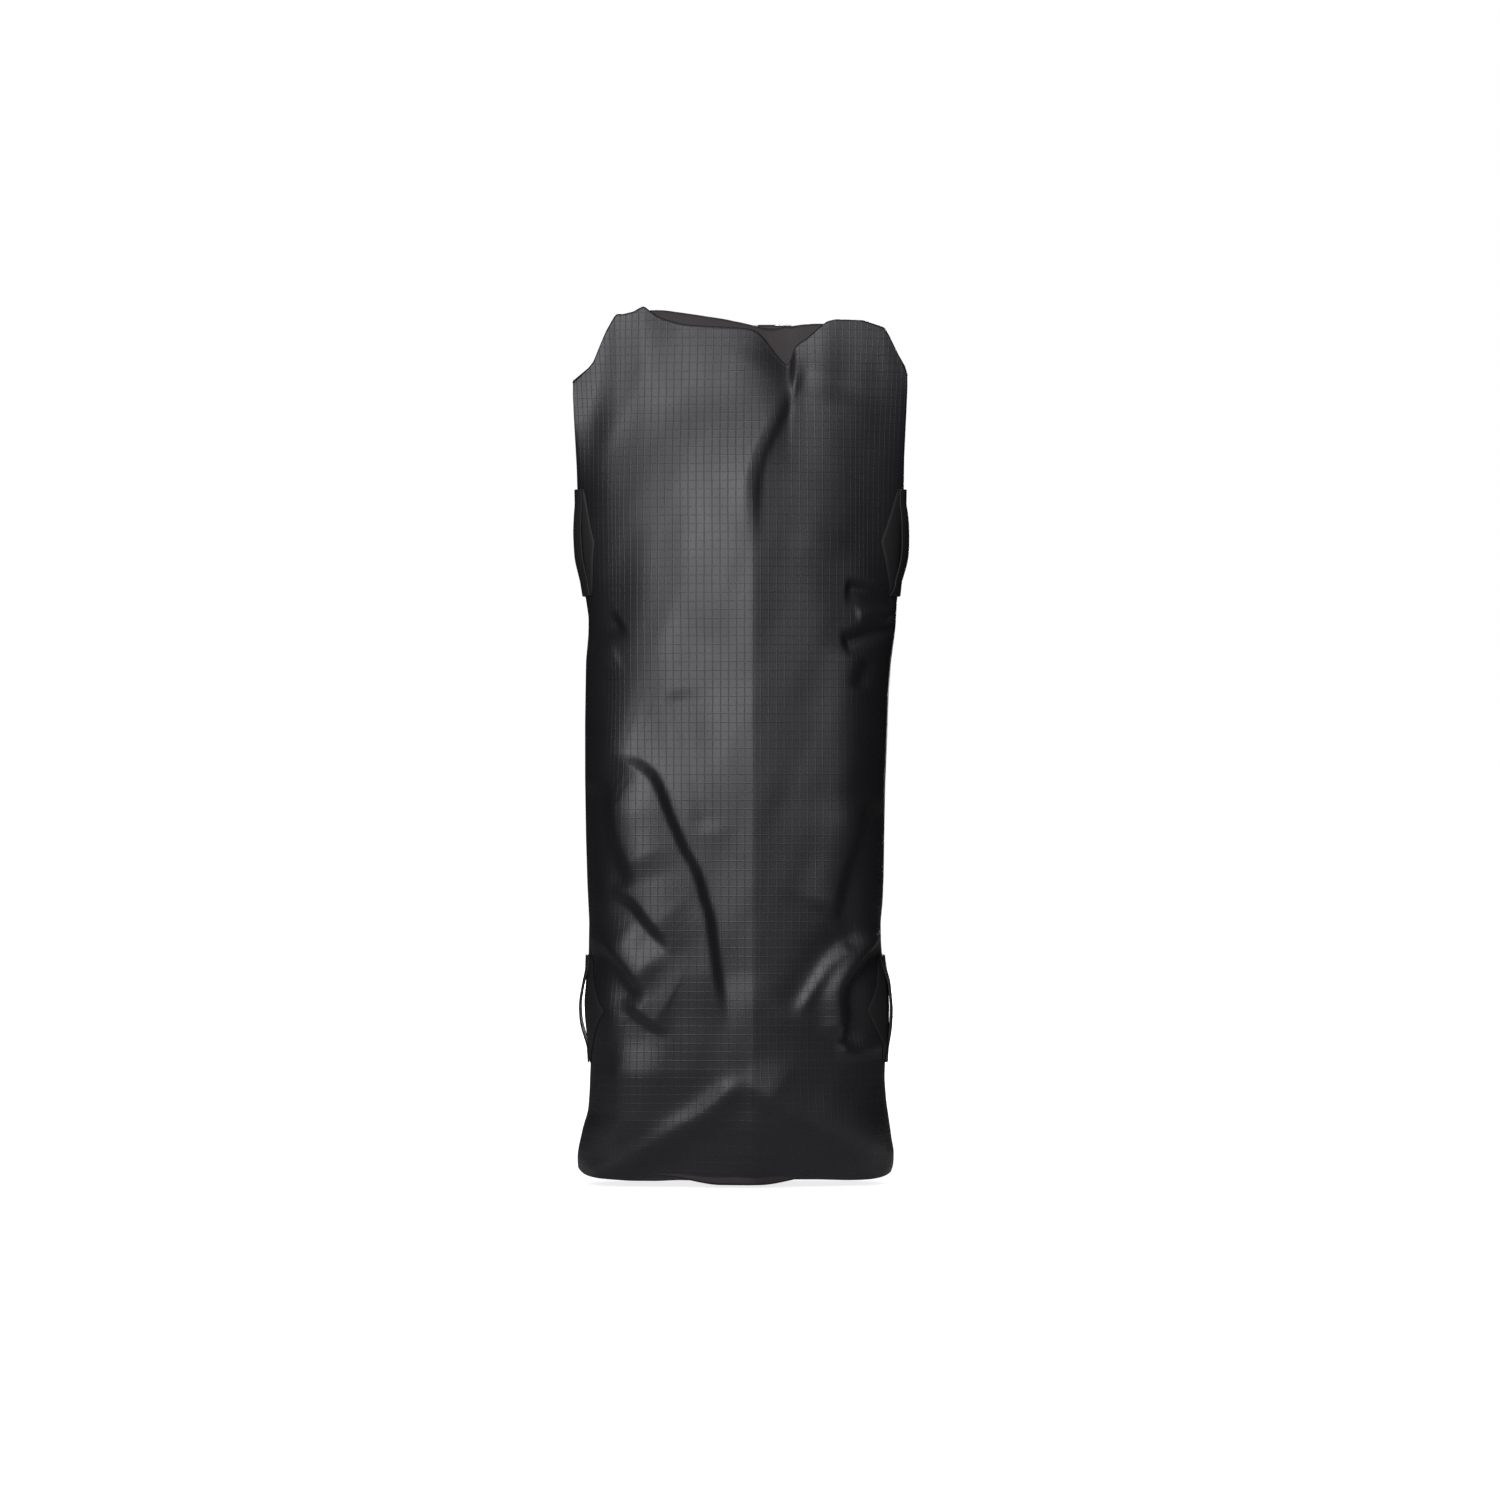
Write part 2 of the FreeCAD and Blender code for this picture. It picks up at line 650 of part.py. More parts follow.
def box_sketch(body, x_low, x_high, half_z):
    """A rectangle in the roll's face, centred on the buckle's middle line."""
    sketch = new_sketch(body, "XZ", -BUCKLE_MIDDLE_Y)
    rectangle(sketch, x_low, x_high, ROLL_MIDDLE - half_z, ROLL_MIDDLE + half_z)
    return sketch


def add_rails(body, x_low, x_high, half_z):
    """Two rails, one beside each edge of the webbing."""
    inner = half_z - S["rail_width"]
    for low, high in ((inner, half_z), (-half_z, -inner)):
        rail = new_sketch(body, "XZ", -BUCKLE_MIDDLE_Y)
        rectangle(rail, x_low, x_high, ROLL_MIDDLE + low, ROLL_MIDDLE + high)
        pad(body, rail, S["bar_radius"] * 2, symmetric=True)


def add_bar(body, x, half_z):
    """The round bar between the rails, ending half way into each."""
    bar = new_sketch(body, "XY", ROLL_MIDDLE)
    circle(bar, x, BUCKLE_MIDDLE_Y, S["bar_radius"])
    pad(body, bar, half_z * 2 - S["rail_width"], symmetric=True)


def make_socket():
    """The buckle's socket: a sleeve with a window in each edge, and a bar for its webbing."""
    body = new_body("buckle_socket")
    half_z, height = S["socket_half_width"], S["buckle_thickness"]
    pad(body, box_sketch(body, NIL, S["socket_length"], half_z), height, symmetric=True)
    round_edges(body, S["corner_round"],
                lambda e: e.BoundBox.YLength < 1e-6 and e.BoundBox.ZLength < 1e-6)
    add_rails(body, S["socket_length"] - GAP, SOCKET_BAR + S["bar_radius"], half_z)
    add_bar(body, SOCKET_BAR, half_z)
    cavity = box_sketch(body, -GAP, S["mouth_depth"], S["mouth_half_width"])
    pocket(body, cavity, S["mouth_half_height"] * 2, symmetric=True)
    window = box_sketch(body, S["window_start"], S["window_start"] + S["window_length"],
                        half_z + GAP)
    pocket(body, window, S["mouth_half_height"] * 2, symmetric=True)
    place_on_roll(body)


def make_plug():
    """The buckle's plug without its prongs: base, guide tongue, webbing bar and cover bar."""
    body = new_body("buckle_plug")
    half_z, height = S["plug_half_width"], S["buckle_thickness"]
    pad(body, box_sketch(body, -PLUG_BACK, -S["plug_face_gap"], half_z), height, symmetric=True)
    round_edges(body, S["corner_round"],
                lambda e: e.BoundBox.YLength < 1e-6 and e.BoundBox.ZLength < 1e-6)
    tongue = box_sketch(body, -S["plug_face_gap"] - GAP, S["tongue_length"],
                        S["tongue_half_width"])
    pad(body, tongue, S["prong_half_height"] * 2, symmetric=True)
    add_rails(body, -PLUG_END, -PLUG_BACK + GAP, half_z)
    add_bar(body, -PLUG_BAR, half_z)
    over_strap = S["webbing_thickness"] / 2 + S["bar_gap"]
    cover = new_sketch(body, "XZ", -BUCKLE_MIDDLE_Y - over_strap)
    rectangle(cover, -PLUG_END, -PLUG_END + S["crossbar_length"],
              ROLL_MIDDLE - half_z, ROLL_MIDDLE + half_z)
    pad(body, cover, S["crossbar_height"], backwards=True)
    place_on_roll(body)


def make_prongs():
    """The two spring prongs whose barbs catch in the socket's windows."""
    for name, side in (("upper", 1), ("lower", -1)):
        body = new_body(f"buckle_prong_{name}")
        sketch = new_sketch(body, "XZ", -BUCKLE_MIDDLE_Y)
        root_x = -S["plug_face_gap"] + GAP
        outline_points = [
            (root_x, S["prong_inner"]), (S["prong_length"], S["prong_inner"]),
            (S["prong_length"], S["prong_outer"]),
            (S["barb_start"] + S["barb_flat"], S["barb_reach"]),
            (S["barb_start"], S["barb_reach"]), (S["barb_start"], S["prong_outer"]),
            (root_x, S["prong_outer"]),
        ]
        outline(sketch, [(x, ROLL_MIDDLE + z * side) for x, z in outline_points])
        pad(body, sketch, S["prong_half_height"] * 2, symmetric=True)
        place_on_roll(body)


# ---------------------------------------------------------------- build, check and write

def write_parts():
    """Recomputes the document, stops at anything that failed, and writes one STEP file per body."""
    doc.recompute()
    for item in doc.Objects:
        if "Invalid" in item.State or "Error" in item.State:
            raise RuntimeError(f"{item.Name} failed: {item.State}")
    os.makedirs(OUT, exist_ok=True)
    for body in doc.findObjects("PartDesign::Body"):
        shape = body.Shape
        if shape.isNull() or not shape.isValid() or not shape.Solids:
            raise RuntimeError(f"{body.Label} has no valid solid")
        shape.exportStep(os.path.join(OUT, f"{body.Label}.step"))
        print(f"{body.Label:28s} {len(shape.Solids)} solid, {shape.Volume / 1000:8.2f} cm3")


make_walls()
make_lining()
make_tapes()
make_base()
make_lash_points()
make_collar_fold()
make_roll()
make_stiffeners()
make_strap("strap_left", -1, PLUG_BAR)
make_strap("strap_right", 1, SOCKET_BAR)
make_socket()
make_plug()
make_prongs()
write_parts()
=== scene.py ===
# %% [markdown]
# # A roll-top changing bag in coated ripstop
#
# The bag is a tall cloth sack that stands on a flat base. Its wall is three cloth panels, its mouth is
# rolled shut over the far side, and each side carries two welded lash points. The solids that hold the
# sizes, the joints and the collision are loaded first, and everything that is made here is fitted to them.

# %% Load the frame
import math

import bmesh
import bpy
import numpy as np
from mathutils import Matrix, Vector


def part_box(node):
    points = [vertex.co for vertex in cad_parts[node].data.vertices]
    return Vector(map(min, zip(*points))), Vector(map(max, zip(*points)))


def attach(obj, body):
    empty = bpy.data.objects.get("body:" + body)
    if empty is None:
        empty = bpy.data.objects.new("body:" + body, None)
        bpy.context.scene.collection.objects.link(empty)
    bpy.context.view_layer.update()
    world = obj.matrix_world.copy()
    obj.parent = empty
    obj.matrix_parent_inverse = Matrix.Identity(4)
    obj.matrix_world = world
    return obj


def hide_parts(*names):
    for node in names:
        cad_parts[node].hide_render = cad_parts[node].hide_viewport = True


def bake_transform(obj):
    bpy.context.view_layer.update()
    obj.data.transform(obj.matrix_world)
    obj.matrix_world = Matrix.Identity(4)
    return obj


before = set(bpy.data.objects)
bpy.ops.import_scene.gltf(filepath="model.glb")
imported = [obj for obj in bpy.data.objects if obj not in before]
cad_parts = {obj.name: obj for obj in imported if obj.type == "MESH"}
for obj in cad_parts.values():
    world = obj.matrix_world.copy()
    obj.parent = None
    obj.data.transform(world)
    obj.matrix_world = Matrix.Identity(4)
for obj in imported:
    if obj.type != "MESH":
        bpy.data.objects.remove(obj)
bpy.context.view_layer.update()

MM = 0.001

# %% [markdown]
# ## Camera
#
# A long lens from three metres away keeps the bag's sides parallel, and a level camera keeps its top and
# base straight. The lens is worked out from the width of the field at the bag, which is easier to think
# about than millimetres of focal length.

# %% Camera
FIELD_WIDTH = 1.125
DISTANCE = 3.2
EYE = Vector((0.009, -DISTANCE, 0.325))
camera_data = bpy.data.cameras.new("camera")
camera_data.sensor_width = 36.0
camera_data.lens = camera_data.sensor_width * DISTANCE / FIELD_WIDTH
camera_data.clip_end = 200.0
camera = bpy.data.objects.new("camera", camera_data)
camera.location = EYE
camera.rotation_euler = (math.radians(90), 0, 0)
bpy.context.scene.collection.objects.link(camera)
bpy.context.scene.camera = camera
print("lens:", round(camera_data.lens, 1), "mm")

# %% [markdown]
# ## Floor and light
#
# Black cloth shows its folds by what it reflects, so the room is dim apart from two large soft boxes: a
# strong one on the left near the camera, and a weak one on the right. The floor is pale and glows by
# itself; the glow is painted dimmer close to the bag, a painted shade round its foot under the real
# contact shadow, and other rays see a floor grey painted paler near the bag, a painted pool of light.

# %% Node helper
def nodes_of(tree):
    """Returns a function that adds a node, sets its plain inputs and links the others."""
    def add(kind, settings=None, **inputs):
        node = tree.nodes.new(kind)
        for name, value in (settings or {}).items():
            setattr(node, name, value)
        for name, value in inputs.items():
            socket = node.inputs[int(name[1:]) if name[1:].isdigit() else name.replace("_", " ")]
            if isinstance(value, bpy.types.NodeSocket):
                tree.links.new(value, socket)
            else:
                socket.default_value = value
        return node
    return add


# %% Room
bpy.context.scene.view_settings.view_transform = "Standard"
WHITE = (1.0, 1.0, 1.0, 1.0)
world = bpy.data.worlds.new("room")
bpy.context.scene.world = world
world.use_nodes = True
world.node_tree.nodes.clear()
add = nodes_of(world.node_tree)
ray = add("ShaderNodeLightPath")
dim_room = add("ShaderNodeBackground", Color=(1.0, 0.84, 0.92, 1.0), Strength=0.03)
pale_wall = add("ShaderNodeBackground", Color=WHITE, Strength=1.0)
room = add("ShaderNodeMixShader", i0=ray.outputs["Is Camera Ray"],
           i1=dim_room.outputs[0], i2=pale_wall.outputs[0])
add("ShaderNodeOutputWorld", Surface=room.outputs[0])


# %% Floor
floor_mesh = bmesh.new()
bmesh.ops.create_grid(floor_mesh, x_segments=1, y_segments=1, size=60.0)
floor_data = bpy.data.meshes.new("floor")
floor_mesh.to_mesh(floor_data)
floor = bpy.data.objects.new("floor", floor_data)
bpy.context.scene.collection.objects.link(floor)
paper = bpy.data.materials.new("paper_floor")
paper.use_nodes = True
paper.node_tree.nodes.clear()
add = nodes_of(paper.node_tree)
ray = add("ShaderNodeLightPath")
matt = add("ShaderNodeBsdfDiffuse", Color=(0.5, 0.5, 0.5, 1.0))
place = add("ShaderNodeTexCoord")
away = add("ShaderNodeVectorMath", {"operation": "LENGTH"}, Vector=place.outputs["Object"])
# The glow is weaker close to the bag: painted shade round its foot, on top of the real contact shadow.
level = add("ShaderNodeMapRange", Value=away.outputs["Value"],
            From_Min=0.1, From_Max=1.2, To_Min=0.80, To_Max=1.0)
glow = add("ShaderNodeEmission", Color=WHITE, Strength=level.outputs[0])
both = add("ShaderNodeAddShader", i0=matt.outputs[0], i1=glow.outputs[0])
# Rays other than the camera's see a grey that is paler close to the bag and darker further out: a painted
# pool of light that the bag gets back as bounce.
near = add("ShaderNodeMapRange", Value=away.outputs["Value"],
           From_Min=0.12, From_Max=0.45, To_Min=0.6, To_Max=0.1)
painted_bounce_pool = add("ShaderNodeBsdfDiffuse", Color=near.outputs[0])
seen = add("ShaderNodeMixShader", i0=ray.outputs["Is Camera Ray"], i1=painted_bounce_pool.outputs[0], i2=both.outputs[0])
add("ShaderNodeOutputMaterial", Surface=seen.outputs[0])
floor_data.materials.append(paper)


# %% Soft boxes
def soft_box(name, place, aim, width, height, power, tint=(1.0, 1.0, 1.0)):
    """An upright area light at a place, turned to face a point."""
    data = bpy.data.lights.new(name, "AREA")
    data.shape = "RECTANGLE"
    data.size, data.size_y = width, height
    data.energy = power
    data.color = tint
    light = bpy.data.objects.new(name, data)
    light.location = place
    light.rotation_euler = (Vector(aim) - Vector(place)).to_track_quat("-Z", "Y").to_euler()
    bpy.context.scene.collection.objects.link(light)
    return light


MIDDLE = (0.0, 0.0, 0.36)
soft_box("key", (-0.78, -2.6, 1.54), (0.0, 0.0, 1.1), 0.6, 2.7, 90.0, (0.97, 0.95, 1.0))
soft_box("fill", (0.85, -2.8, 1.35), (0.0, 0.0, 0.9), 0.6, 1.5, 13.5)
soft_box("top", (0.0, -0.3, 2.6), MIDDLE, 1.6, 1.6, 8.0)
soft_box("back", (0.3, 2.9, 1.2), MIDDLE, 1.4, 1.8, 100.0)

# %% [markdown]
# ## Cloth materials
#
# Ripstop is a fine plain weave with a thicker thread every few millimetres each way. The weave and the
# grid are bumps that read the panel's own UV map, which is laid out in metres from the seam, so both run
# along the cloth round every fold. The polyurethane coat gives a broad soft gloss that changes a little
# from place to place, and the cloth is a touch paler in slow random patches.

# %% Number helpers for materials
def number(tree, operation, first, second=0.0, third=None):
    """One Math node; first and second are sockets or numbers."""
    node = tree.nodes.new("ShaderNodeMath")
    node.operation = operation
    for socket, value in zip(node.inputs, (first, second, third)):
        if value is None:
            continue
        if isinstance(value, bpy.types.NodeSocket):
            tree.links.new(value, socket)
        else:
            socket.default_value = value
    return node.outputs[0]


def near_line(tree, coordinate, pitch, width):
    """1 on evenly spaced lines across a coordinate, falling softly to 0 between them."""
    turn = number(tree, "DIVIDE", coordinate, pitch)
    away = number(tree, "PINGPONG", turn, 0.5)
    share = number(tree, "DIVIDE", away, width / pitch / 2)
    return number(tree, "MAXIMUM", number(tree, "SUBTRACT", 1.0, share), 0.0)


def ramp(tree, factor, low, high):
    """A colour that goes from low to high as factor goes from 0 to 1."""
    node = tree.nodes.new("ShaderNodeMix")
    node.data_type = "RGBA"
    node.inputs[6].default_value = (*low, 1.0)
    node.inputs[7].default_value = (*high, 1.0)
    tree.links.new(factor, node.inputs[0])
    return node.outputs[2]


# %% Ripstop
def ripstop(name, base, worn, roughness):
    """Coated ripstop: weave and grid from the UV map, gloss from a slow noise."""
    material = bpy.data.materials.new(name)
    material.use_nodes = True
    tree = material.node_tree
    tree.nodes.clear()
    add = nodes_of(tree)
    uv = add("ShaderNodeUVMap", {"uv_map": "cloth"})
    parts = add("ShaderNodeSeparateXYZ", Vector=uv.outputs[0])
    across, along = parts.outputs[0], parts.outputs[1]
    wander = add("ShaderNodeTexNoise", Vector=uv.outputs[0], Scale=45.0, Detail=2.0)
    shift = number(tree, "MULTIPLY", number(tree, "SUBTRACT", wander.outputs[0], 0.5), 0.0007)
    across, along = number(tree, "ADD", across, shift), number(tree, "ADD", along, shift)
    grid = number(tree, "MAXIMUM", near_line(tree, across, 0.0059, 0.0009),
                  near_line(tree, along, 0.0064, 0.0009))
    threads = number(tree, "MULTIPLY",
                     number(tree, "SINE", number(tree, "MULTIPLY", across, 2 * math.pi / 0.0006)),
                     number(tree, "SINE", number(tree, "MULTIPLY", along, 2 * math.pi / 0.0006)))
    slub = add("ShaderNodeTexNoise", Vector=uv.outputs[0], Scale=900.0, Detail=3.0, Roughness=0.7)
    coat = add("ShaderNodeTexNoise", Vector=uv.outputs[0], Scale=16.0, Detail=4.0)
    height = number(tree, "ADD", grid, number(tree, "MULTIPLY", slub.outputs[0], 0.9))
    bump = add("ShaderNodeBump", Strength=0.36, Distance=0.00022, Height=height)
    blotch = number(tree, "ADD", number(tree, "MULTIPLY", coat.outputs[0], 0.8),
                    number(tree, "MULTIPLY", threads, 0.25))
    colour = ramp(tree, blotch, base, worn)
    gloss = number(tree, "ADD", roughness, number(tree, "MULTIPLY", coat.outputs[0], 0.14))
    shader = add("ShaderNodeBsdfPrincipled", Base_Color=colour, Roughness=gloss, Normal=bump.outputs[0])
    shader.inputs["Specular IOR Level"].default_value = 0.42
    add("ShaderNodeOutputMaterial", Surface=shader.outputs[0])
    return material


RIPSTOP = ripstop("coated_ripstop", (0.005, 0.005, 0.006), (0.013, 0.012, 0.014), 0.38)


# %% Smooth cloth, webbing tape and moulded finishes
def plain_finish(name, base, worn, roughness, grain, depth, specular=0.4, sheen=0.0):
    """A finish on Object coordinates: a fine grain in the bump and a slow change of shade."""
    material = bpy.data.materials.new(name)
    material.use_nodes = True
    tree = material.node_tree
    tree.nodes.clear()
    add = nodes_of(tree)
    place = add("ShaderNodeTexCoord")
    fine = add("ShaderNodeTexNoise", Vector=place.outputs["Object"], Scale=grain, Detail=3.0, Roughness=0.6)
    slow = add("ShaderNodeTexNoise", Vector=place.outputs["Object"], Scale=22.0, Detail=4.0)
    bump = add("ShaderNodeBump", Strength=0.5, Distance=depth, Height=fine.outputs[0])
    colour = ramp(tree, slow.outputs[0], base, worn)
    gloss = number(tree, "ADD", roughness, number(tree, "MULTIPLY", slow.outputs[0], 0.12))
    shader = add("ShaderNodeBsdfPrincipled", Base_Color=colour, Roughness=gloss, Normal=bump.outputs[0])
    shader.inputs["Specular IOR Level"].default_value = specular
    shader.inputs["Sheen Weight"].default_value = sheen
    add("ShaderNodeOutputMaterial", Surface=shader.outputs[0])
    return material


SMOOTH_CLOTH = plain_finish("smooth_coated_cloth", (0.009, 0.006, 0.0065), (0.020, 0.014, 0.015),
                            0.46, 700.0, 0.00010, 0.27)
LINING = plain_finish("opaque_lining", (0.008, 0.008, 0.009), (0.016, 0.016, 0.017),
                      0.75, 1100.0, 0.0001, 0.2)
TAPE = plain_finish("sealed_tape", (0.012, 0.012, 0.013), (0.024, 0.024, 0.026), 0.4, 900.0, 0.00005)
LASH = plain_finish("matt_lash_sheet", (0.008, 0.008, 0.008), (0.015, 0.015, 0.015),
                    0.55, 1500.0, 0.00006, 0.3)
PLASTIC = plain_finish("moulded_plastic", (0.012, 0.012, 0.013), (0.026, 0.026, 0.028), 0.42, 1400.0, 0.00006)
print("materials:", [m.name for m in bpy.data.materials])

# %% [markdown]
# ## The bag's outline
#
# Soft cloth never hangs to a ruler. The half widths below are read off the standing bag every few
# centimetres, left and right apart, because the pinches differ. The depths are the solid's own: a flat
# base, a full belly and a mouth that closes to a line.

# %% Outline tables, in millimetres from the ground
LEFT_EDGE = [(0, 114), (5, 118), (14, 120), (22, 120.5), (29.5, 119.5), (41.5, 116.5), (54.5, 112.5),
             (66.5, 111.5), (91.5, 110.5), (106.5, 111.5), (121.5, 113.5), (136.5, 114.3), (151.5, 113),
             (171.5, 112), (196.5, 111.5), (226.5, 113), (258.5, 114), (296.5, 114.6), (346.5, 114.7),
             (391.5, 114), (411.5, 112.2), (424.5, 112), (437.5, 114), (452.5, 116.5), (467.5, 119),
             (488.5, 120.3), (511.5, 120.3), (536.5, 121), (572.5, 123), (594.5, 124), (599.5, 123.6),
             (604.5, 118.5), (610, 112), (614.5, 108.5), (624.5, 104.5), (636.5, 99.5), (648.5, 93),
             (656.5, 84)]
RIGHT_EDGE = [(0, 108), (5, 112), (14, 116.5), (25, 117), (32.5, 115.5), (46.5, 113.5), (61.5, 111.3),
              (78.5, 110), (96.5, 110.5), (114.5, 112), (131.5, 112.5), (151.5, 111.5), (166.5, 108.5),
              (181.5, 107.2), (196.5, 107), (211.5, 108.5), (231.5, 109.3), (258.5, 109.7), (296.5, 110.4),
              (336.5, 112), (371.5, 113.3), (392.5, 115), (406.5, 117), (418.5, 118.3), (437.5, 119.3),
              (452.5, 121), (466.5, 122.5), (496.5, 124), (542.5, 124.7), (576.5, 126.3), (599.5, 127.2),
              (607.5, 126.8), (614.5, 124), (624.5, 119.5), (634.5, 115.5), (642.5, 110), (648.5, 104)]
NEAR_DEPTH = [(0, 39), (10, 42.5), (25, 47.5), (50, 53), (88, 58), (140, 61), (200, 62),
              (300, 61.5), (370, 57),
              (437, 51), (480, 45), (530, 36), (570, 25.5), (604, 15.5), (625, 9.5), (645, 5), (665, 2.5)]
FAR_DEPTH = [(0, 36), (10, 38.5), (25, 44), (50, 50), (88, 56), (180, 60.5), (300, 61.5), (370, 57),
             (437, 50.5), (480, 44.5), (530, 36), (570, 25.5), (604, 14.6), (625, 9.6), (650, 4.4), (665, 4)]
SEAM = 11.0


def smooth_table(table, height, reach=5.0):
    """A table's value at each height, rounded over a few millimetres so that no row of it shows."""
    keys, values = np.array(table, float).T
    steps = np.linspace(-1, 1, 7)
    weights = np.exp(-(steps * 1.6) ** 2)
    total = sum(w * np.interp(height + s * reach, keys, values) for s, w in zip(steps, weights))
    return total / weights.sum()


heights = np.array([100.0, 300.0, 600.0])
print("widths:", smooth_table(LEFT_EDGE, heights) + smooth_table(RIGHT_EDGE, heights))

# %% [markdown]
# ## Top edge and hem
#
# The near panel's top is not straight either: its corners are cut off where the cloth is folded away, and
# the fold sags into a dip right of the seam. The hem lifts a little at both corners.

# %% Top edge and hem, in millimetres across and up
TOP_EDGE = [(-124, 600), (-118.5, 604.5), (-112, 610), (-108.5, 614.5), (-104.5, 624.5), (-99.5, 636.5),
            (-93, 648), (-91, 650.3), (-86, 650), (-78, 652), (-74, 654.5), (-70.5, 656), (-66, 652.5),
            (-60, 648.3), (-55, 646), (-45, 643.2), (-38, 641.7), (-20, 640.6), (0, 639.5), (10, 638.5),
            (15, 636), (20, 631), (24, 625.5), (28, 620), (33, 614), (36.5, 611), (39, 612.5), (40.5, 619),
            (42.5, 625), (46, 628), (51, 631), (56, 635.5), (62, 641), (67, 644.5), (73, 645.9), (80, 645.8),
            (94, 645.3), (100, 643.3), (110, 640), (114, 633), (120, 620.5), (126, 610), (127.3, 604)]
FAR_TOP = [(-124, 600), (-118.5, 604.5), (-108.5, 614.5), (-99.5, 634), (-93, 641), (-80, 643), (-20, 643),
           (0, 641), (15, 638.5), (26, 637), (40, 639), (60, 641), (99, 640), (110, 637), (114, 631),
           (120, 619), (126, 609), (127.3, 604)]
HEM_EDGE = [(-121, 15), (-119, 10.5), (-114, 8), (-108, 7), (-100, 6.2), (-80, 5), (-60, 5), (-45, 5.8),
            (-30, 5.7), (-10, 5.8), (10, 6), (40, 6.4), (60, 6), (80, 5), (90, 4.8), (100, 5), (108, 6.2),
            (113, 7.8), (117, 11)]



# %% [markdown]
# ## Folds
#
# Each fold is a line across the panel with a height and a width on either side of it. A long gentle flank
# and a short steep one give the look of a real crease: one broad lit face and a thin dark one beside it.
# Positive heights stand out of the cloth and negative ones sink in.

# %% A crease from two folds
def crease(points, height, half, left, right):
    """A step in the cloth: a ridge on the left of a line and a valley on its right, half a band apart."""
    line = np.array(points, float)
    run = np.gradient(line, axis=0)
    right_side = np.stack([-run[:, 1], run[:, 0]], 1) / np.hypot(*run.T)[:, None]
    return [(line - right_side * half, height, left, half * 1.1),
            (line + right_side * half, -height, half * 1.1, right)]


# %% Fold lines of the near side: (points, height, width on the left, width on the right)
NEAR_FOLDS = [
    # the band from the dip at the top to the seam
    *crease([(50, 616), (45, 603), (38, 588), (29, 570), (20, 553), (14, 536), (12, 510), (12, 470)],
            2.0, 6.5, 34, 30),
    ([(80, 600), (70, 560), (64, 510), (62, 460)], 1.6, 20, 22),
    ([(-66, 676), (-50, 636), (-31, 606), (-23, 585), (-30, 558), (-42, 530), (-48, 500),
      (-50, 450), (-50, 400), (-50, 350)],
     3.0, 42, 80),
    ([(-86, 680), (-88, 630), (-92, 580), (-94, 520), (-96, 460)], 2.8, 19, 60),
    # long creases on the left
    *crease([(-96, 323), (-84, 319), (-72, 313), (-63, 305), (-57, 292), (-52, 278), (-46, 264),
             (-40, 250), (-34, 240), (-29, 228), (-25, 213), (-21, 200), (-19, 185), (-17, 170),
             (-15, 155), (-12, 136), (-9, 112)], 2.9, 4.8, 36, 34),
    *crease([(-101, 306), (-98, 284), (-95, 262), (-90, 247), (-85, 235), (-79, 220)], -3.3, 6.5, 14, 26),
    *crease([(-100, 219), (-91, 216), (-82, 211), (-76, 205), (-70, 197), (-64, 190), (-56, 181), (-48, 168)],
            -2.5, 4.6, 20, 26),
    *crease([(-112, 187), (-103, 177), (-96, 170), (-89, 161), (-83, 153), (-76, 145), (-67, 136)],
            -4.4, 6.8, 16, 26),
    *crease([(-94, 135), (-82, 130), (-75, 125), (-68, 120), (-60, 115), (-48, 111)], -2.0, 4.2, 18, 24),
    ([(-84, 110), (-88, 84), (-88, 64), (-88, 44), (-92, 20)], 3.6, 8, 28),
    ([(-46, 372), (-42, 348), (-34, 322), (-28, 290), (-24, 260)], -1.0, 9, 14),
    # the base: a ridge from each corner to the seam
    ([(12, 82), (-7, 68), (-15, 61), (-29, 50), (-44, 41), (-59, 31), (-74, 22), (-89, 14),
      (-104, 9), (-116, 3)], 3.4, 9, 11),
    ([(2, 84), (22, 68), (36, 58), (48, 51), (60, 45.5), (80, 36.5), (100, 31), (120, 31)], 5.0, 11, 24),
    ([(-80, 6), (-30, 20), (10, 26), (50, 20), (90, 6)], -1.4, 14, 14),
    # folds on the right
    ([(98, 196), (80, 184), (71, 178), (62, 169), (54, 157), (46, 143), (35, 122)], -2.0, 13, 8),
    ([(86, 180), (76, 171), (68, 163), (62, 154), (55, 143), (44, 124)], 1.5, 6, 5),
    ([(106, 192), (95, 177), (86, 165), (79, 154), (75, 145), (74, 136), (75, 122), (74, 106)], 5.4, 9, 5.5),
    ([(112, 184), (101, 170), (94, 158), (88, 148), (87, 136), (88, 124), (84, 111), (78, 100)], -3.4, 5, 12),
    ([(116, 108), (100, 103), (88, 101), (72, 97)], 2.2, 9, 7),
    *crease([(98, 292), (93, 268), (86, 245), (80, 226), (76, 209), (71, 196)], 2.3, 5.5, 22, 16),
    ([(94, 402), (89, 385), (87, 365), (84, 340), (82, 310), (80, 280), (78, 240)], 1.8, 20, 15),
    # the pinches below the upper lash points
    ([(126, 437), (104, 441), (92, 445), (80, 446)], -4.4, 5, 7),
    ([(126, 421), (104, 413), (92, 409), (78, 404)], -4.0, 6, 5),
    ([(120, 428), (100, 428), (88, 426)], 1.4, 6, 6),
    ([(-86, 422), (-102, 413), (-120, 403)], -3.8, 8, 8),
    ([(-88, 398), (-96, 394), (-106, 384)], 1.0, 9, 9),
    ([(100, 394), (94, 382), (90, 368)], -2.6, 6, 7),
]


# %% Fold depth at any point
def smooth_line(points, count=28):
    """A Catmull-Rom curve through a fold's points."""
    p = np.array(points, float)
    p = np.vstack([2 * p[0] - p[1], p, 2 * p[-1] - p[-2]])
    spans = len(p) - 3
    out = []
    for t in np.linspace(0, spans - 1e-9, count):
        i, f = int(t), t - int(t)
        a, b, c, d = p[i:i + 4]
        out.append(0.5 * (2 * b + (c - a) * f + (2 * a - 5 * b + 4 * c - d) * f * f
                          + (3 * b - a - 3 * c + d) * f ** 3))
    return np.array(out)


